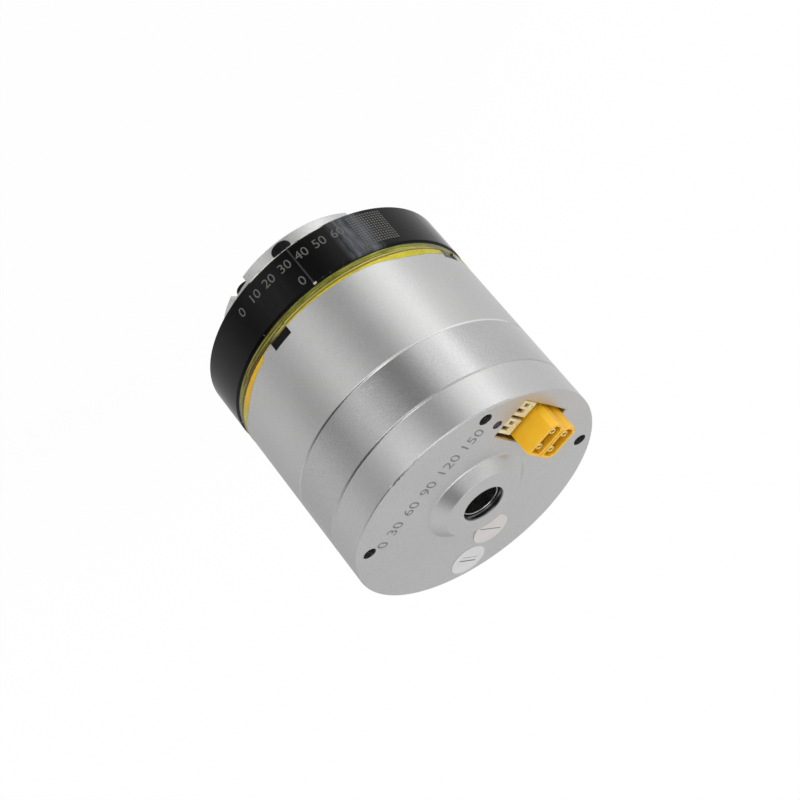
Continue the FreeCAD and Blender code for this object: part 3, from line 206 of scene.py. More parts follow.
# Bead-blasted and anodised: an even fine grain; the middle ring is a little smoother and darker
satinLooks = {
    "main": {"dark": (0.52, 0.52, 0.516), "light": (0.61, 0.61, 0.606), "roughness": 0.34, "bump": 0.30},
    "middle": {"dark": (0.46, 0.46, 0.46), "light": (0.56, 0.56, 0.56), "roughness": 0.23, "bump": 0.24},
    "cover": {"dark": (0.52, 0.518, 0.516), "light": (0.61, 0.608, 0.606), "roughness": 0.32, "bump": 0.28},
    "flange": {"dark": (0.54, 0.54, 0.53), "light": (0.66, 0.66, 0.65), "roughness": 0.30, "bump": 0.30},
}
satinGrain = {"metallic": 1.0, "roughnessSpread": 0.05, "patchSize": 22.0, "grainSize": 0.3,
              "grainShare": 0.75}
tubeLook = {"dark": (0.84, 0.84, 0.83), "light": (0.96, 0.96, 0.95), "metallic": 1.0, "roughness": 0.14,
            "turned": 0.3, "bump": 0.08}
# sharp edges of the silver parts and of the tube meet the light as if rounded by this radius in mm
edgeRadius = 0.2
# In all looks below angles are in degrees and sizes in mm; from and to are cosines of the angle away from the
# look's own angle, where it starts and where it is full.
# Bores are machined after blasting, so they are smoother: radius below which that holds, and its blur; on the
# rear cover the bore is also painted dark grey, as painted shade for the dark hollow it reflects
boreFinishAndShade = {"edge": 5.83, "blur": 0.02, "roughness": 0.24, "colour": (0.26, 0.26, 0.26)}
# bevels at the joints between the silver parts: smoother, with a painted highlight round one angle and
# painted shade round another
joints = {"heights": (52.2, 66.9), "half": 0.34, "reach": 34.785, "smoother": 0.1}
paintedJointHighlight = {"angle": 35.0, "from": 0.743, "to": 0.866, "colour": (0.82, 0.82, 0.81)}
paintedJointShade = {"angle": 99.0, "from": 0.950, "to": 0.995, "colour": (0.50, 0.50, 0.50)}
# fine marks from handling on the middle ring: width of the lines, how slowly they change round the ring, the
# noise over which they appear, and the share of the half height that has all of them
scuffs = {"angle": 73.0, "from": 0.988, "to": 0.998, "height": 54.6, "half": 1.7, "core": 0.3, "line": 0.16,
          "slow": 0.09, "lines": (0.55, 0.72), "colour": (0.70, 0.70, 0.69)}
# the flat rear face is rougher than the turned sides; upright is the normal's height over which that appears
flatFace = {"roughness": 0.42, "metallic": 0.82, "upright": (0.93, 0.99)}
# and so is the rear rim, beyond one radius and height, by the roughness that is added
rearRim = {"angle": 65.0, "from": 0.927, "to": 0.961, "radius": 34.25, "height": 76.5, "roughness": 0.24}


def nearAngle(tree, at, look):
    # 1 round the look's angle, 0 away from it, by the cosine of a point's angle from there
    angle = math.radians(look["angle"])
    sideways = times(tree, at["y"], math.sin(angle))
    along = calculate(tree, "MULTIPLY_ADD", at["x"], math.cos(angle), sideways)
    return rampBetween(tree, calculate(tree, "DIVIDE", along, at["r"]), look["from"], look["to"])


def facingUp(tree, low, high):
    # 1 where the surface faces straight back along the axis, by the height of its normal
    normal = addNode(tree, "ShaderNodeTexCoord").outputs["Normal"]
    return rampBetween(tree, addNode(tree, "ShaderNodeSeparateXYZ", {0: normal}).outputs["Z"], low, high)


def distanceRound(tree, at):
    # distance round the axis, at a point's own radius
    return times(tree, calculate(tree, "ARCTAN2", at["y"], at["x"]), at["r"])


def repaint(tree, shader, factor, colour):
    # mix a colour over what the finish has
    old = shader.inputs["Base Color"].links[0].from_socket
    feed(tree, shader, Base_Color=mixColours(tree, factor, old, colour))


def onJoint(tree, at):
    # 1 on the bevels where two silver parts meet
    near = [calculate(tree, "LESS_THAN", offset(tree, at["z"], height * mm), joints["half"] * mm)
            for height in joints["heights"]]
    inside = calculate(tree, "LESS_THAN", at["r"], joints["reach"] * mm)
    return times(tree, calculate(tree, "ADD", *near), inside)


def onScuffs(tree, at):
    # 1 on the lines, less towards the ends of their strip
    along = times(tree, distanceRound(tree, at), scuffs["slow"])
    strip = addNode(tree, "ShaderNodeCombineXYZ", {0: along, 1: at["z"]}).outputs[0]
    lines = rampBetween(tree, noiseValue(tree, strip, scuffs["line"], 1.0), *scuffs["lines"])
    away = offset(tree, at["z"], scuffs["height"] * mm)
    near = rampBetween(tree, away, scuffs["half"] * mm, scuffs["core"] * scuffs["half"] * mm)
    return times(tree, lines, times(tree, nearAngle(tree, at, scuffs), near))


def onRearRim(tree, at):
    outside = calculate(tree, "GREATER_THAN", at["r"], rearRim["radius"] * mm)
    above = calculate(tree, "GREATER_THAN", at["z"], rearRim["height"] * mm)
    return times(tree, times(tree, outside, above), nearAngle(tree, at, rearRim))


def roundEdges(tree, shader):
    # light meets the sharp edges as if they were rounded
    bump = shader.inputs["Normal"].links[0].from_node
    rounded = addNode(tree, "ShaderNodeBevel", {"Radius": edgeRadius * mm}, samples=6)
    tree.links.new(rounded.outputs[0], bump.inputs["Normal"])


def satinAluminium(name):
    look = {**satinGrain, **satinLooks[name]}
    finish, tree, shader, at = surfaceFinish("satin" + name.capitalize(), look)
    roundEdges(tree, shader)
    edge, blur = boreFinishAndShade["edge"], boreFinishAndShade["blur"]
    blasted = rampBetween(tree, at["r"], (edge - blur) * mm, (edge + blur) * mm)
    bored = calculate(tree, "SUBTRACT", 1.0, blasted)
    rough = times(tree, shader.inputs["Roughness"].links[0].from_socket, blasted)
    rough = calculate(tree, "ADD", rough, times(tree, bored, boreFinishAndShade["roughness"]))
    if name == "cover":
        flat = facingUp(tree, *flatFace["upright"])
        rougher = flatFace["roughness"] - look["roughness"]
        rough = calculate(tree, "MULTIPLY_ADD", flat, rougher, rough)
        rough = calculate(tree, "MULTIPLY_ADD", onRearRim(tree, at), rearRim["roughness"], rough)
        feed(tree, shader, Metallic=calculate(tree, "MULTIPLY_ADD", flat, flatFace["metallic"] - 1.0, 1.0))
        # painted shade: the cover's bore is painted dark grey, as if reflecting the dark hollow
        repaint(tree, shader, bored, boreFinishAndShade["colour"])
    if name == "middle":
        repaint(tree, shader, onScuffs(tree, at), scuffs["colour"])
    # painted highlight and painted shade on the joint bevels, each round its own angle
    jointPaint = shader.inputs["Base Color"].links[0].from_socket
    for jointPaintLook in (paintedJointHighlight, paintedJointShade):
        jointPaint = mixColours(tree, nearAngle(tree, at, jointPaintLook), jointPaint, jointPaintLook["colour"])
    joint = onJoint(tree, at)
    repaint(tree, shader, joint, jointPaint)
    feed(tree, shader, Roughness=calculate(tree, "MULTIPLY_ADD", joint, -joints["smoother"], rough))
    return finish


blackLook = {"dark": (0.0010, 0.0010, 0.0012), "light": (0.0026, 0.0026, 0.0030), "roughness": 0.14,
             "roughnessSpread": 0.10, "patchSize": 7.0, "grainSize": 0.3, "turned": 1.4, "turnSize": 0.2,
             "bump": 0.16, "IOR": 1.25}
# painted sheen: soft lighter streaks along the axis painted on the black round one angle, where a highlight
# falls: their width, how slowly they change, and the noise over which they appear
paintedSheen = {"angle": 39.4, "from": 0.986, "to": 0.9995, "colour": (0.125, 0.134, 0.150), "width": 1.5,
             "slow": 0.16, "streaks": (0.22, 0.80)}
# a second, fainter place with such painted sheen
faintPaintedSheen = {"angle": 83.0, "from": 0.975, "to": 0.998, "share": 0.03}
# the ring's bevels, which wear a hair further in than they reach, and the strip beside the front one: size of
# the patches rubbed bare there, and the noise over which they appear; the front wear shows only round one
# angle, as a painted highlight, and one spot on the rear bevel is a painted glint
wornEdge = {"radius": 35.0, "bevel": 0.4, "reach": 1.05, "strip": 0.22, "patch": 1.6, "front": (0.34, 0.48),
            "rear": (0.66, 0.74), "steel": (0.80, 0.76, 0.64), "metallic": 0.9}
wornFrontHighlight = {"angle": 67.0, "from": 0.94, "to": 0.96}
paintedRearGlint = {"angle": 65.2, "from": math.cos(0.016), "to": math.cos(0.003)}


def blackOxide():
    # glossy black with faint lathe marks and painted sheen in streaks, rubbed to bare steel in patches along
    # its edges, with a painted highlight along the front edge and a painted glint on the rear bevel
    finish, tree, shader, at = surfaceFinish("blackOxide", blackLook)
    # painted sheen round two angles, in soft streaks along the axis
    faintSheen = times(tree, nearAngle(tree, at, faintPaintedSheen), faintPaintedSheen["share"])
    sheenPlace = calculate(tree, "MAXIMUM", nearAngle(tree, at, paintedSheen), faintSheen)
    along = times(tree, at["z"], paintedSheen["slow"])
    strip = addNode(tree, "ShaderNodeCombineXYZ", {0: distanceRound(tree, at), 1: along}).outputs[0]
    noise = noiseValue(tree, strip, paintedSheen["width"], 4.0, 0.6)
    streaks = rampBetween(tree, noise, *paintedSheen["streaks"])
    repaint(tree, shader, times(tree, sheenPlace, streaks), paintedSheen["colour"])
    low, high = (corner[2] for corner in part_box("outer_ring"))
    bevel, outside = wornEdge["bevel"] * mm, wornEdge["radius"] * mm
    onRim = calculate(tree, "GREATER_THAN", at["r"], outside - wornEdge["reach"] * bevel)
    patches = noiseValue(tree, at["place"], wornEdge["patch"], 3.0)
    front = calculate(tree, "LESS_THAN", at["z"], low + bevel + wornEdge["strip"] * mm)
    front = times(tree, front, rampBetween(tree, patches, *wornEdge["front"]))
    # painted highlight: the bare front strip shows only round one angle
    front = times(tree, front, nearAngle(tree, at, wornFrontHighlight))
    bare = rampBetween(tree, patches, *wornEdge["rear"])
    # painted glint: one bare spot on the rear bevel round one angle
    bare = calculate(tree, "MAXIMUM", bare, nearAngle(tree, at, paintedRearGlint))
    rear = times(tree, calculate(tree, "GREATER_THAN", at["z"], high - bevel), bare)
    wornAndLit = times(tree, calculate(tree, "ADD", front, rear), onRim)
    repaint(tree, shader, wornAndLit, wornEdge["steel"])
    feed(tree, shader, Metallic=times(tree, wornAndLit, wornEdge["metallic"]))
    return finish


# yellow film squeezed out over the casing's front edge: radii, heights and its soft upper edge in mm
filmEdge = {"outer": 34.86, "behind": 34.76, "seat": 34.28, "low": 25.06, "lip": 25.2, "seam": 26.0,
            "softDown": 0.03, "softIn": 0.012}
filmLook = {"dark": (0.40, 0.35, 0.010), "light": (0.62, 0.56, 0.03), "roughness": 0.3, "patchSize": 5.0,
            "grainSize": 0.5, "bump": 0.3, "Specular IOR Level": 0.25, "Coat Weight": 0.12,
            "Coat Roughness": 0.12}
# the film is more orange round one angle and ribbed round another: pitch and lean of the ribs
thickFilm = {"angle": 113.0, "from": 0.950, "to": 0.984, "colour": (0.80, 0.46, 0.004)}
filmRibs = {"angle": 116.0, "from": 0.85, "to": 0.93, "colour": (0.52, 0.26, 0.003), "pitch": 0.62,
            "lean": 1.2, "share": 0.2}
# below the film's border lie three layers, lit round one angle and in shade elsewhere, whose tops wander
underFilm = {"angle": 50.0, "from": 0.70, "to": 0.80, "shade": (0.085, 0.062, 0.010), "blotch": 2.0,
             "wander": 0.24, "metallic": 0.8}
# a brown joint, an olive strip and a pale edge: top, colour, and how much of the shade's colour it takes
filmLayers = [(26.02, (0.20, 0.085, 0.006), 0.5), (25.72, (0.30, 0.24, 0.03), 1.0),
              (25.36, (0.52, 0.55, 0.20), 1.0)]


def amberFilm():
    """Strength of the slanting ribs = share * (1 + sin(2 pi * (distance round + lean * height) / pitch)).
    Each layer below the border is painted over the ones above it."""
    finish, tree, shader, at = surfaceFinish("amberFilm", filmLook)
    repaint(tree, shader, nearAngle(tree, at, thickFilm), thickFilm["colour"])
    around = times(tree, calculate(tree, "ARCTAN2", at["y"], at["x"]), filmEdge["outer"] * mm)
    slanted = calculate(tree, "MULTIPLY_ADD", at["z"], filmRibs["lean"], around)
    rib = calculate(tree, "SINE", times(tree, slanted, 2 * math.pi / (filmRibs["pitch"] * mm)))
    rib = calculate(tree, "MULTIPLY_ADD", rib, filmRibs["share"], filmRibs["share"])
    repaint(tree, shader, times(tree, nearAngle(tree, at, filmRibs), rib), filmRibs["colour"])
    wander = calculate(tree, "SUBTRACT", noiseValue(tree, at["place"], underFilm["blotch"], 2.0), 0.5)
    height = calculate(tree, "MULTIPLY_ADD", wander, underFilm["wander"] * mm, at["z"])
    lit = nearAngle(tree, at, underFilm)
    for top, colour, share in filmLayers:
        below = calculate(tree, "LESS_THAN", height, top * mm)
        shade = tuple(share * part for part in underFilm["shade"])
        repaint(tree, shader, below, mixColours(tree, lit, shade, colour))
    # the last layer, the edge, shines where it is lit
    feed(tree, shader, Metallic=times(tree, times(tree, below, lit), underFilm["metallic"]))
    return finish


oliveLook = {"dark": (0.115, 0.11, 0.011), "light": (0.28, 0.28, 0.035), "metallic": 0.7, "roughness": 0.26,
             "roughnessSpread": 0.2, "patchSize": 5.0, "grainSize": 0.3, "turned": 0.8, "bump": 0.3}
# streaks of oil that run round the band: thickness, how slowly they change, and the noise over which the pale
# and the brown ones appear; and the painted shade in the gap in front of the band, up to a height
oilStreaks = {"thickness": 0.3, "slow": 0.03, "pale": (0.42, 0.46, 0.12), "paleOnes": (0.54, 0.68),
              "brown": (0.12, 0.052, 0.006), "brownOnes": (0.45, 0.33), "joint": 23.46,
              "gapShadeColour": (0.004, 0.004, 0.004)}
# where more of the streaks are brown
brownPlace = {"angle": 108.0, "from": 0.97, "to": 0.995, "more": 0.10}


def oiledSteel():
    finish, tree, shader, at = surfaceFinish("oiledSteel", oliveLook)
    slow = oilStreaks["slow"]
    around = addNode(tree, "ShaderNodeVectorMath", {0: at["place"], 1: (slow, slow, 1.0)},
                     operation="MULTIPLY").outputs[0]
    streak = noiseValue(tree, around, oilStreaks["thickness"], 2.0)
    repaint(tree, shader, rampBetween(tree, streak, *oilStreaks["paleOnes"]), oilStreaks["pale"])
    streak = calculate(tree, "MULTIPLY_ADD", nearAngle(tree, at, brownPlace), -brownPlace["more"], streak)
    repaint(tree, shader, rampBetween(tree, streak, *oilStreaks["brownOnes"]), oilStreaks["brown"])
    # painted shade: near black below the gap in front of the band
    joint = calculate(tree, "LESS_THAN", at["z"], oilStreaks["joint"] * mm)
    repaint(tree, shader, joint, oilStreaks["gapShadeColour"])
    return finish


gasketLook = {"dark": (0.020, 0.008, 0.001), "light": (0.16, 0.085, 0.006), "roughness": 0.35,
              "patchSize": 2.5, "grainSize": 0.3, "bump": 0.4}
beigeLook = {"dark": (0.82, 0.69, 0.38), "light": (0.94, 0.84, 0.55), "roughness": 0.42, "patchSize": 2.5,
             "grainSize": 0.12, "bump": 0.2, "Subsurface Weight": 0.15}
# painted shade: the headers' slots and windows are painted dark below their rims, over these depths, and
# their floors less dark; upright is the normal's height over which a floor is told
headerShade = {"depths": (0.08, 1.3), "upright": (0.8, 0.95), "floor": 0.25, "colour": (0.10, 0.045, 0.012)}


def headerNylon():
    finish, tree, shader, at = surfaceFinish("beigeNylon", beigeLook)
    depth = calculate(tree, "SUBTRACT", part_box("signal_header_a")[1][2], at["z"])
    shade = rampBetween(tree, depth, *(part * mm for part in headerShade["depths"]))
    # the painted shade is lighter on the floors of the hollows than on their sides
    floor = facingUp(tree, *headerShade["upright"])
    level = calculate(tree, "MULTIPLY_ADD", floor, headerShade["floor"] - 1.0, 1.0)
    repaint(tree, shader, times(tree, shade, level), headerShade["colour"])
    return finish


def polishedTube():
    finish, tree, shader, _ = surfaceFinish("polishedTube", tubeLook)
    roundEdges(tree, shader)
    return finish


def buildFinishes():
    finishes = {name: surfaceFinish(name, look)[0] for name, look in finishLooks.items()}
    finishes["tube_metal"] = polishedTube()
    finishes["anodised_silver"] = satinAluminium("main")
    finishes["black_oxide"] = blackOxide()
    finishes["gasket_yellow"] = amberFilm()
    finishes["header_beige"] = headerNylon()
    return finishes


finishes = buildFinishes()
ownFinish = {
    "flexspline": oiledSteel(),
    "seam_gasket": surfaceFinish("oiledFilm", gasketLook)[0],
    "middle_housing": satinAluminium("middle"),
    "rear_cover": satinAluminium("cover"),
    "output_flange": satinAluminium("flange"),
}
for row in frame["record"]["subparts"]:
    part = nodes[row["node"]]
    finish = ownFinish.get(row["node"], finishes[row["material_slot"]])
    for materialSlot in part.material_slots:
        materialSlot.material = finish
print("finishes on the packed parts")


# New pieces: points and faces into a mesh, and that into the scene
def addObject(name, data):
    holder = bpy.data.objects.new(name, data)
    bpy.context.scene.collection.objects.link(holder)
    return holder


def addMesh(name, points, faces, finish):
    faces = faces.tolist() if isinstance(faces, np.ndarray) else faces
    mesh = bpy.data.meshes.new(name)
    mesh.from_pydata(np.asarray(points, dtype=float).reshape(-1, 3).tolist(), [], faces)
    mesh.materials.append(finish)
    return addObject(name, mesh)


def makePiece(name, points, faces, finish, body, smoothAngle):
    # a smooth piece that rides on a body
    piece = addMesh(name, points, faces, finish)
    piece.data.validate()
    piece.data.shade_smooth()
    piece.data.set_sharp_from_angle(angle=math.radians(smoothAngle))
    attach(piece, body)
    return piece


def anglesRound(steps):
    return np.linspace(0, 2 * math.pi, steps, endpoint=False)


def ringPoints(radius, angle, height):
    # points by their distance from the axis, angle round it and height
    x, y = radius * np.cos(angle), radius * np.sin(angle)
    return np.stack([x, y, height + 0 * x], axis=-1)


def gridFaces(rows, columns):
    # quads between neighbouring rows and columns of a grid of points, whose last column meets the first one;
    # outwards for a profile that climbs
    row, column = np.meshgrid(np.arange(rows - 1), np.arange(columns), indexing="ij")
    following = (column + 1) % columns
    corners = (row * columns + column, row * columns + following,
               (row + 1) * columns + following, (row + 1) * columns + column)
    return np.stack(corners, axis=-1).reshape(-1, 4)


def turnAbout(points, angle):
    # points turned about the Z axis by an angle in radians
    turned = points.copy()
    turned[..., 0] = points[..., 0] * math.cos(angle) - points[..., 1] * math.sin(angle)
    turned[..., 1] = points[..., 0] * math.sin(angle) + points[..., 1] * math.cos(angle)
    return turned


# Cap screws with a knurled head and a hex socket: sizes in mm, start in degrees
screwLooks = {
    "cover_screws": {"head": 1.65, "headHeight": 2.0, "shank": 1.0, "circle": 30.95, "start": 45.0,
                     "seat": 74.0, "up": 1, "key": 1.5, "socketDepth": 1.1, "knurls": 30, "body": "housing"},
    "ring_screws": {"head": 2.75, "headHeight": 2.7, "shank": 1.5, "circle": 32.0, "start": 67.0,
                    "seat": 9.6, "up": -1, "key": 2.5, "socketDepth": 1.6, "knurls": 36, "body": "housing"},
    "output_screws": {"head": 2.75, "headHeight": 1.6, "shank": 1.5, "circle": 22.2, "start": 11.2,
                      "seat": 2.0, "up": -1, "key": 2.0, "socketDepth": 0.9, "knurls": 0, "body": "output"},
}
# bevel and depth of the knurls as shares of the head's radius, and steps round it, a multiple of six
screwShape = {"bevel": 0.09, "knurl": 0.045, "steps": 216}


def screwSurface(look, length):
    """A screw as one closed surface of two parameters, the angle and the station along its section: radius =
    the station's radius, times the hexagon's radius at that angle in the socket, less a small wave of the
    angle on the knurled side. Stations run from the shank's end up round the head and into the socket."""
    angle = anglesRound(screwShape["steps"])
    head, height, shank = look["head"], look["headHeight"], look["shank"]
    key, depth = look["key"] / 2, look["socketDepth"]
    hexagon = 1 / np.cos((angle % (math.pi / 3)) - math.pi / 6)
    bevel = screwShape["bevel"] * head
    # radius and height in mm, 1 in the hexagonal socket, 1 on the knurls
    stations = np.array([
        (0.001, -length, 0, 0), (shank - 0.2, -length, 0, 0), (shank, 0.2 - length, 0, 0), (shank, 0, 0, 0),
        (head - 0.08, 0, 0, 0), (head, 0.1, 0, 1), (head, height - bevel - 0.08, 0, 1),
        (head - 0.02, height - bevel, 0, 0), (head - 0.35 * bevel, height - 0.3 * bevel, 0, 0),
        (head - bevel, height, 0, 0), (key * 1.30, height, 0, 0), (key * 1.19, height - 0.06, 0, 0),
        (key, height - 0.16, 1, 0), (key, height - depth, 1, 0), (0.001, height - depth - 0.25 * key, 0, 0),
    ])
    wave = 0.5 + 0.5 * np.cos(look["knurls"] * angle) if look["knurls"] else 0 * angle
    knurl = screwShape["knurl"] * head * wave
    radius = stations[:, :1] * np.where(stations[:, 2:3] > 0, hexagon, 1.0) - stations[:, 3:4] * knurl
    return ringPoints(radius, angle, stations[:, 1:2]), gridFaces(len(stations), len(angle))


def buildScrews(node, look):
    low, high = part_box(node)
    length = (high[2] - low[2]) / mm - look["headHeight"]
    points, faces = screwSurface(look, length)
    rows, columns = points.shape[:2]
    if look["up"] < 0:
        points = points * np.array([1, -1, -1])
    points = points + np.array([look["circle"], 0, look["seat"]])
    allPoints, allFaces = [], []
    for i in range(4):
        allPoints.append(turnAbout(points, math.radians(look["start"] + 90 * i)).reshape(-1, 3))
        allFaces.append(faces + i * rows * columns)
    screws = makePiece(node + "Detailed", np.concatenate(allPoints) * mm, np.concatenate(allFaces),
                       finishes["screw_black"], look["body"], 30.0)
    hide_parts(node)


for node, look in screwLooks.items():
    buildScrews(node, look)
print("cap screws")


# Gold pins: barrels with a rounded rim round a hole, split by four slots. Sizes in mm; the slots end above
# wall, and dark holds the depths over which the hole gets painted shade
pinLook = {"spacing": 5.0, "radius": 1.0, "hole": 0.40, "holeDepth": 2.0, "slot": 0.16, "slotDrop": 0.8,
           "slotEase": 1.6, "wall": 1.5, "dark": (0.45, 0.9), "holeShadeColour": (0.10, 0.05, 0.012)}


def buildPins():
    """Each pin is one closed surface of two parameters, angle and station: its rim is half a circle of radius
    (R - hole) / 2, and at each quarter turn it sinks by slotDrop * (slotEase - distance / half slot), the
    bracket kept between 0 and 1."""
    look = pinLook
    low, high = (np.array(corner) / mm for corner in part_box("power_pins"))
    bottom, top = low[2], high[2]
    radius, hole, wall = look["radius"], look["hole"], top - look["wall"]
    angle = anglesRound(144)
    across = np.abs((angle + math.pi / 4) % (math.pi / 2) - math.pi / 4) * radius
    slot = np.clip(look["slotEase"] - across / (look["slot"] / 2), 0, 1)
    half = (radius - hole) / 2
    arc = [(radius - half + half * math.cos(a), top - half + half * math.sin(a), 1)
           for a in np.linspace(0, math.pi, 13)]
    stations = np.array([(0.001, bottom, 0), (radius, bottom, 0), (radius, wall, 0), (radius, wall + 0.05, 0),
                         *arc, (hole, wall + 0.05, 0), (hole, top - look["holeDepth"], 0),
                         (0.001, top - look["holeDepth"] - 0.2, 0)])
    height = stations[:, 1:2] - stations[:, 2:] * slot * look["slotDrop"]
    pin = ringPoints(stations[:, :1], angle, height).reshape(-1, 3)
    faces = gridFaces(len(stations), len(angle))
    middle = (low[0] + high[0]) / 2
    spots = np.array([(middle + way * look["spacing"] / 2, side, 0)
                      for side in (low[1] + radius, high[1] - radius) for way in (-1, 1)])
    points = (pin[None] + spots[:, None]).reshape(-1, 3)
    allFaces = (faces[None] + len(pin) * np.arange(len(spots))[:, None, None]).reshape(-1, 4)
    finish, tree, shader, at = surfaceFinish("goldPin", finishLooks["pin_gold"])
    # painted shade, deeper in the hole
    depth = calculate(tree, "SUBTRACT", top * mm, at["z"])
    shade = rampBetween(tree, depth, *(part * mm for part in look["dark"]))
    repaint(tree, shader, shade, look["holeShadeColour"])
    pins = makePiece("powerPinsDetailed", points * mm, allFaces, finish, "housing", 50.0)
    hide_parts("power_pins")


buildPins()
print("pins")


# Round paper labels, slightly lifted at their rims, with nothing printed but plain rules
# each rule is (place across, half width, half length) in mm
stickers = {
    "coverSticker": {"x": -20.4, "y": -19.6, "radius": 5.0, "lift": 0.02, "turn": -78.0,
                     "rules": [(0.9, 0.09, 2.7), (-0.3, 0.22, 3.0)]},
    "bossSticker": {"x": -9.45, "y": -17.25, "radius": 5.1, "lift": 0.07, "turn": -78.0,
                    "rules": [(0.0, 0.17, 3.9)], "paper": (0.75, 0.705, 0.675)},
}
# colours, thickness and height in mm, and where in radians the rim is lifted most
stickerLook = {"paper": (0.77, 0.77, 0.765), "ink": (0.16, 0.16, 0.17), "darker": 0.9, "thickness": 0.07,
               "coverTop": 77.0, "above": 0.01, "curlSide": 2.2}


def stickerFinish(name, look):
    # paper with plain dark rules across it
    paper = look.get("paper", stickerLook["paper"])
    finish, tree, shader, at = surfaceFinish(name, {
        "dark": tuple(stickerLook["darker"] * part for part in paper), "light": paper, "roughness": 0.42,
        "patchSize": 3.0, "grainSize": 0.2, "bump": 0.25, "Coat Weight": 0.25, "Coat Roughness": 0.3})
    turn = math.radians(look["turn"])
    centred = addNode(tree, "ShaderNodeVectorMath", {0: at["place"], 1: (look["x"] * mm, look["y"] * mm, 0)},
                      operation="SUBTRACT").outputs[0]
    turned = addNode(tree, "ShaderNodeVectorRotate", {"Vector": centred, "Angle": -turn},
                     rotation_type="Z_AXIS").outputs[0]
    spot = addNode(tree, "ShaderNodeSeparateXYZ", {0: turned}).outputs
    colour = shader.inputs["Base Color"].links[0].from_socket
    for across, halfWidth, halfLength in look["rules"]:
        inBand = calculate(tree, "LESS_THAN", offset(tree, spot["Y"], across * mm), halfWidth * mm)
        inLength = calculate(tree, "LESS_THAN", calculate(tree, "ABSOLUTE", spot["X"]), halfLength * mm)
        colour = mixColours(tree, times(tree, inBand, inLength), colour, stickerLook["ink"])
    feed(tree, shader, Base_Color=colour)
    return finish


def buildSticker(name, look):
    """A closed disc of two parameters, ring and angle: height = paper thickness + lift * (r / R)^6 * (0.25 +
    0.75 * cos(angle from the lifted side)^2), over a flat underside."""
    rings, angle = 14, anglesRound(96)
    share = np.sin(np.linspace(0.001, math.pi / 2, rings))
    radius = look["radius"] * share[:, None]
    side = np.clip(np.cos(angle - stickerLook["curlSide"]), 0, 1)
    curl = look["lift"] * share[:, None] ** 6 * (0.25 + 0.75 * side ** 2)
    under = ringPoints(radius, angle, stickerLook["above"] + curl)
    over = under[::-1] + np.array([0, 0, stickerLook["thickness"]])
    points = np.concatenate([under, over]) + np.array([look["x"], look["y"], stickerLook["coverTop"]])
    makePiece(name, points * mm, gridFaces(2 * rings, len(angle)), stickerFinish(name, look),
              "housing", 40.0)


for name, look in stickers.items():
    buildSticker(name, look)
print("stickers")


# Film border: its height in mm above the seam at angles in degrees, nothing where the casing is notched
filmHeights = [
    (4.9, 0.0), (5.6, 1.5), (12, 1.6), (19, 1.85), (26, 1.95), (31, 1.75), (35, 1.3), (40, 0.9), (50, 0.55),
    (60, 0.5), (72, 0.38), (80, 0.32), (84.4, 0.3), (85, 0.0), (95, 0.0), (95.6, 0.16), (101.3, 0.14),
    (101.9, 0.8), (103.2, 1.12), (109, 1.15), (115, 1.45), (122, 1.9), (130, 2.05), (138, 1.3), (144, 0.6),
    (174.4, 0.4), (175, 0.0), (185, 0.0), (185.6, 0.4), (230, 0.6), (264.4, 0.4), (265, 0.0), (275, 0.0),
    (275.6, 0.5), (320, 0.35), (349, 0.9), (354.4, 0.3), (355.1, 0.0),
]
# waves of that height: share of it, number round the axis, phase in radians
filmWaves = [(0.03, 23, 0.0), (0.02, 61, 1.0)]
# lowest border, height below which there is none, and the strip that is left of the band there: all in mm
filmLeast = {"border": 0.02, "none": 0.05, "outer": 0.06, "behind": 0.03}


def buildFilm():
    """A closed band of two parameters, angle and station, that wraps the casing's front edge: its upper
    border lies at the seam + the height read off at that angle * (1 + two small waves of the angle)."""
    angle = anglesRound(1440)
    degrees, heights = np.array(filmHeights).T
    height = np.interp(np.degrees(angle), degrees, heights, period=360)
    ripple = 1 + 0 * angle
    for share, count, phase in filmWaves:
        ripple = ripple + share * np.sin(count * angle + phase)
    height = height * ripple
    top = filmEdge["seam"] + np.clip(height, filmLeast["border"], None)
    outer, behind, seat, low, lip = (filmEdge[key] for key in ("outer", "behind", "seat", "low", "lip"))
    # where the casing is notched the band shrinks to a thin strip round its seat
    bare = height < filmLeast["none"]
    outer = np.where(bare, seat + filmLeast["outer"], outer)
    behind = np.where(bare, seat + filmLeast["behind"], behind)
    under = filmEdge["seam"] - filmLeast["border"]
    # radius and height of each station
    rows = [(seat, low), (outer, lip), (outer, under), (outer, top - filmEdge["softDown"]),
            (outer - filmEdge["softIn"], top), (behind, top), (behind, under), (seat, under), (seat, low)]
    points = np.stack([ringPoints(radius, angle, station) for radius, station in rows])
    makePiece("filmBorder", points * mm, gridFaces(len(rows), len(angle)), finishes["gasket_yellow"],
              "housing", 40.0)


buildFilm()
print("film border")


# Marks: plain numbers and dots, and a painted highlight streak, as thin inlays that stand proud by a hair in
# mm; digits is the height of the font's digits as a share of its size
markLook = {"ringInk": (0.118, 0.116, 0.112), "paintedStreakInk": (0.019, 0.020, 0.022),
            "faceInk": (0.25, 0.25, 0.25), "darker": 0.72, "proud": 0.012, "digits": 0.73}


def numberOutline(text, height):
    """Flat points (x, y, in mm) and faces of a number of that height, centred on x, standing on y = 0."""
    curve = bpy.data.curves.new("number", "FONT")
    curve.body = text
    curve.size = height / markLook["digits"]
    curve.align_x = "CENTER"
    curve.resolution_u = 6
    holder = addObject("number", curve)
    bpy.context.view_layer.update()
    mesh = bpy.data.meshes.new_from_object(holder.evaluated_get(bpy.context.evaluated_depsgraph_get()))
    points = np.empty(len(mesh.vertices) * 3)
    mesh.vertices.foreach_get("co", points)
    faces = [list(polygon.vertices) for polygon in mesh.polygons]
    bpy.data.objects.remove(holder)
    bpy.data.meshes.remove(mesh)
    return points.reshape(-1, 3)[:, :2], faces


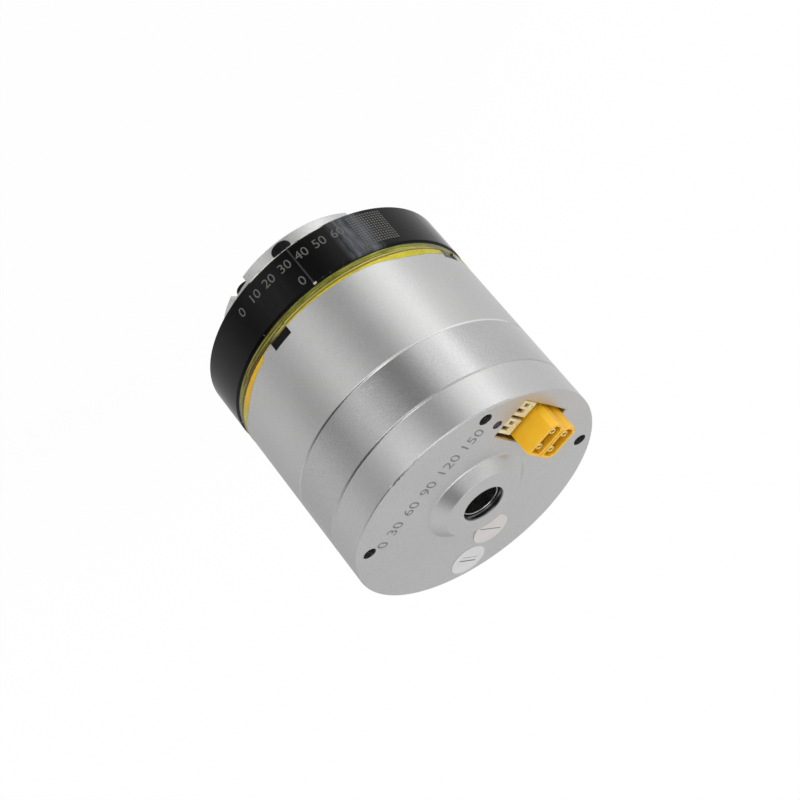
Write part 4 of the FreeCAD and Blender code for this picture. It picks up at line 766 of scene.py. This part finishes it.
def joinOutlines(outlines):
    points, faces, count = [], [], 0
    for somePoints, someFaces in outlines:
        points.append(somePoints)
        faces += [[index + count for index in face] for face in someFaces]
        count += len(somePoints)
    return np.concatenate(points), faces


def inkFinish(name, colour):
    dark = tuple(markLook["darker"] * part for part in colour)
    return surfaceFinish(name, {"dark": dark, "light": colour, "metallic": 0.2, "roughness": 0.55,
                                "patchSize": 0.5, "grainSize": 0.1, "bump": 0.3})[0]


ringScale = {"radius": 35.0, "base": 15.0, "numberHeight": 2.7, "from": 96.0, "to": 45.0, "last": 60}
# the 0 mark, and a painted highlight: a lighter strip along the axis where a light's streak falls on the
# glossy black, with its angle, width and ends
indexMark = {"angle": 68.5, "base": 21.4, "numberHeight": 2.7, "paintedStreak": 65.5, "paintedStreakWidth": 0.42,
             "paintedStreakFrom": 10.1, "paintedStreakTo": 22.6}
dotField = {"angle": 30.15, "middle": 16.0, "pitch": 0.79, "side": 0.5, "count": 13}


def wrapOnRing(name, outlines, ink):
    """Flat outlines (distance round the ring, height along the axis) laid on the ring's outside: angle =
    distance / R at radius R + a hair."""
    flat, faces = joinOutlines(outlines)
    radius = ringScale["radius"]
    angle = flat[:, 0] / radius
    points = ringPoints(radius + markLook["proud"], angle, flat[:, 1])
    piece = addMesh(name, points * mm, faces, ink)
    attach(piece, "housing")


def buildRingMarks():
    # numbers that read towards smaller angles, with their tops towards the output
    look, radius = ringScale, ringScale["radius"]
    outlines = []
    count = look["last"] // 10
    for i in range(count + 1):
        points, faces = numberOutline(str(10 * i), look["numberHeight"])
        middle = math.radians(look["from"] + (look["to"] - look["from"]) * i / count) * radius
        outlines.append((np.array([middle, look["base"]]) - points, faces))
    points, faces = numberOutline("0", indexMark["numberHeight"])
    middle = math.radians(indexMark["angle"]) * radius
    outlines.append((np.array([middle, indexMark["base"]]) - points, faces))
    # a plain square field of even dots
    field, centre = dotField, math.radians(dotField["angle"]) * radius
    square = np.array([(-1, -1), (1, -1), (1, 1), (-1, 1)]) * field["side"] / 2
    offsets = (np.arange(field["count"]) - (field["count"] - 1) / 2) * field["pitch"]
    for across in offsets:
        for up in offsets:
            outlines.append((square + np.array([centre + across, field["middle"] + up]), [[0, 1, 2, 3]]))
    wrapOnRing("ringNumbers", outlines, inkFinish("ringInk", markLook["ringInk"]))
    # painted highlight: a thin lighter strip along the axis
    middle = math.radians(indexMark["paintedStreak"]) * radius
    half, start, end = indexMark["paintedStreakWidth"] / 2, indexMark["paintedStreakFrom"], indexMark["paintedStreakTo"]
    paintedStreak = np.array([(middle - half, start), (middle + half, start),
                       (middle + half, end), (middle - half, end)])
    wrapOnRing("ringPaintedStreak", [(paintedStreak, [[0, 1, 2, 3]])], inkFinish("paintedStreakInk", markLook["paintedStreakInk"]))


buildRingMarks()

faceScale = {"numbers": [0, 30, 60, 90, 120, 150], "from": (-19.9, 19.8), "to": (18.6, 20.2), "rise": 1.2,
             "numberHeight": 3.5, "top": 77.0}


def buildFaceMarks():
    """Numbers along a shallow arc on the rear cover, with even gaps: each one's place is between from and to
    at a share, pushed out by rise * 4 * share * (1 - share), and the number is turned to the arc there."""
    look = faceScale
    start, end = np.array(look["from"]), np.array(look["to"])
    length = np.linalg.norm(end - start)
    along = (end - start) / length
    outward = np.array([-along[1], along[0]])
    numbers = [numberOutline(str(number), look["numberHeight"]) for number in look["numbers"]]
    widths = np.array([np.ptp(points[:, 0]) for points, _ in numbers])
    gap = (length - widths.sum()) / (len(widths) - 1)
    shares = (np.cumsum(widths) - widths / 2 + gap * np.arange(len(widths))) / length
    outlines = []
    for share, (points, faces) in zip(shares, numbers):
        spot = start + share * length * along + outward * look["rise"] * 4 * share * (1 - share)
        slope = along + outward * look["rise"] * 4 * (1 - 2 * share) / length
        slope = slope / np.linalg.norm(slope)
        middle = points - np.array([0, look["numberHeight"] / 2])
        up = np.array([-slope[1], slope[0]])
        placed = spot + middle[:, :1] * slope + middle[:, 1:] * up
        outlines.append((placed, faces))
    flat, faces = joinOutlines(outlines)
    points = np.column_stack([flat, np.full(len(flat), look["top"] + markLook["proud"])])
    piece = addMesh("coverNumbers", points * mm, faces, inkFinish("faceInk", markLook["faceInk"]))
    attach(piece, "housing")


buildFaceMarks()
print("numbers")


# Room: a pale floor, and round the part a dome of soft panels that only light rays see. Sizes in mm; the
# camera sees floorGlow of plain white, glow multiplies the panels, and climb is the part of the dome's radius
# over which the high panels take over
room = {"floorDrop": 180.0, "floorHalf": 6000.0, "floorColour": (0.98, 0.98, 0.98, 1), "floorGlow": 0.96,
        "domeRadius": 340.0, "domeMiddle": 40.0, "glow": 1.15, "climb": (-0.15, 0.50)}
# two soft round lamps in the dome: direction in degrees, strength, cosines where it starts and is full
lamps = {
    "key": {"azimuth": 78.0, "elevation": 14.0, "strength": 2.4, "from": 0.86, "to": 0.97},
    "top": {"azimuth": 159.0, "elevation": 87.0, "strength": 1.85, "from": 0.955, "to": 0.984},
}
# azimuth in degrees and brightness of the panels, low down and high up; -180 and 180 are the same place
lowPanels = [
    (-180, 0.60), (-165, 0.54), (-150, 0.48), (-131, 0.47), (-111, 0.60), (-80, 0.72), (-40, 0.72),
    (-14, 0.79), (0, 0.92), (7, 1.42), (15, 1.45), (22, 1.06), (30, 1.04), (42, 0.50), (52, 0.26), (62, 0.24),
    (78, 0.52), (92, 0.80), (106, 0.57), (122, 0.37), (136, 0.49), (150, 0.64), (168, 0.65),
]
highPanels = [
    (-180, 0.74), (-165, 0.72), (-150, 0.64), (-128, 0.59), (-111, 0.66), (-94, 0.72), (-70, 0.68),
    (-38, 0.68), (-25, 0.76), (-8, 0.93), (11, 0.83), (37, 0.58), (68, 0.44), (98, 0.16), (122, 0.07),
    (143, 0.12), (160, 0.58), (170, 0.72),
]


def floorFinish():
    finish, tree = newMaterial("paleFloor")
    shader = tree.nodes["Principled BSDF"]
    feed(tree, shader, Base_Color=room["floorColour"], Roughness=0.9, Specular_IOR_Level=0.0)
    white = addNode(tree, "ShaderNodeEmission", {"Strength": 1.0})
    seen = times(tree, addNode(tree, "ShaderNodeLightPath").outputs["Is Camera Ray"], room["floorGlow"])
    blend = addNode(tree, "ShaderNodeMixShader", {0: seen, 1: shader.outputs[0], 2: white.outputs[0]})
    tree.links.new(blend.outputs[0], tree.nodes["Material Output"].inputs[0])
    return finish


def buildFloor():
    half, drop = room["floorHalf"] * mm, -room["floorDrop"] * mm
    corners = [(-half, -half, drop), (half, -half, drop), (half, half, drop), (-half, half, drop)]
    floor = addMesh("floor", corners, [(0, 1, 2, 3)], floorFinish())


def panelRamp(tree, share, panels):
    # brightness by azimuth, 0 to 1 of the brightest panel, and that panel's brightness
    ramp = addNode(tree, "ShaderNodeValToRGB", {0: share})
    stops = ramp.color_ramp.elements
    brightest = max(level for _, level in panels)
    for degrees, level in panels + [(180, panels[0][1])]:
        if abs(degrees) == 180:
            stop = stops[0 if degrees < 0 else -1]
        else:
            stop = stops.new((degrees + 180) / 360)
        stop.color = (level / brightest, level / brightest, level / brightest, 1)
    return times(tree, ramp.outputs["Color"], brightest)


def domeFinish(middle, radius):
    """Brightness by azimuth, from the low panels to the high ones as the elevation climbs; then for each lamp
    level + share * (lamp - level), with the share by the cosine of the angle from the lamp."""
    finish, tree = newMaterial("domeGlow")
    tree.nodes.clear()
    place = addNode(tree, "ShaderNodeTexCoord").outputs["Object"]
    parts = addNode(tree, "ShaderNodeSeparateXYZ", {0: place}).outputs
    turn = calculate(tree, "ARCTAN2", parts["Y"], parts["X"])
    share = calculate(tree, "MULTIPLY_ADD", turn, 0.5 / math.pi, 0.5)
    up = calculate(tree, "DIVIDE", calculate(tree, "SUBTRACT", parts["Z"], middle), radius)
    low, high = panelRamp(tree, share, lowPanels), panelRamp(tree, share, highPanels)
    climb = rampBetween(tree, up, *room["climb"])
    level = calculate(tree, "MULTIPLY_ADD", calculate(tree, "SUBTRACT", high, low), climb, low)
    fromMiddle = addNode(tree, "ShaderNodeVectorMath", {0: place, 1: (0, 0, middle)},
                         operation="SUBTRACT").outputs[0]
    for lamp in lamps.values():
        azimuth, rise = math.radians(lamp["azimuth"]), math.radians(lamp["elevation"])
        flat = math.cos(rise)
        towards = np.array([flat * math.cos(azimuth), flat * math.sin(azimuth), math.sin(rise)])
        along = addNode(tree, "ShaderNodeVectorMath", {0: fromMiddle, 1: tuple(towards / radius)},
                        operation="DOT_PRODUCT").outputs["Value"]
        share = rampBetween(tree, along, lamp["from"], lamp["to"])
        brighter = calculate(tree, "SUBTRACT", lamp["strength"], level)
        level = calculate(tree, "MULTIPLY_ADD", brighter, share, level)
    glow = addNode(tree, "ShaderNodeEmission", {"Strength": times(tree, level, room["glow"])})
    addNode(tree, "ShaderNodeOutputMaterial", {0: glow.outputs[0]})
    return finish


def buildDome():
    """A sphere of two parameters, azimuth and elevation."""
    rows, angle = 49, anglesRound(96)
    rise = np.linspace(-math.pi / 2 + 0.01, math.pi / 2 - 0.01, rows)[:, None]
    radius, middle = room["domeRadius"] * mm, room["domeMiddle"] * mm
    points = ringPoints(radius * np.cos(rise), angle, middle + radius * np.sin(rise))
    dome = addMesh("softDome", points, gridFaces(rows, len(angle)), domeFinish(middle, radius))
    dome.data.shade_smooth()
    dome.visible_camera = False


def buildWorld():
    world = bpy.data.worlds.new("studio")
    world.use_nodes = True
    feed(world.node_tree, world.node_tree.nodes["Background"], Color=(1, 1, 1, 1), Strength=1.0)
    bpy.context.scene.world = world


buildFloor()
buildDome()
buildWorld()

# Camera: the photograph's viewing angle, with the picture's upright turned well away from the part's axis.
# Places and lens in mm, roll in degrees, clip in metres
cameraLook = {"place": (160.48, 416.71, 289.69), "aim": (-1.802, -5.394, 40.0), "roll": -140.667,
              "lens": 92.03, "sensor": 36.0, "clip": (0.01, 20.0)}


def buildCamera():
    camera = bpy.data.cameras.new("camera")
    camera.lens = cameraLook["lens"]
    camera.sensor_width = cameraLook["sensor"]
    camera.clip_start, camera.clip_end = cameraLook["clip"]
    holder = addObject("camera", camera)
    place, aim = (np.array(cameraLook[key]) * mm for key in ("place", "aim"))
    back = (place - aim) / np.linalg.norm(place - aim)
    right = np.cross([0, 0, 1.0], back)
    right = right / np.linalg.norm(right)
    up = np.cross(back, right)
    roll = math.radians(cameraLook["roll"])
    turnedUp = math.cos(roll) * up + math.sin(roll) * right
    turnedRight = np.cross(turnedUp, back)
    holder.matrix_world = Matrix(np.column_stack([turnedRight, turnedUp, back]).tolist()).to_4x4()
    holder.location = place
    bpy.context.scene.camera = holder


buildCamera()
bpy.context.scene.view_settings.view_transform = "Standard"
print("room and camera")
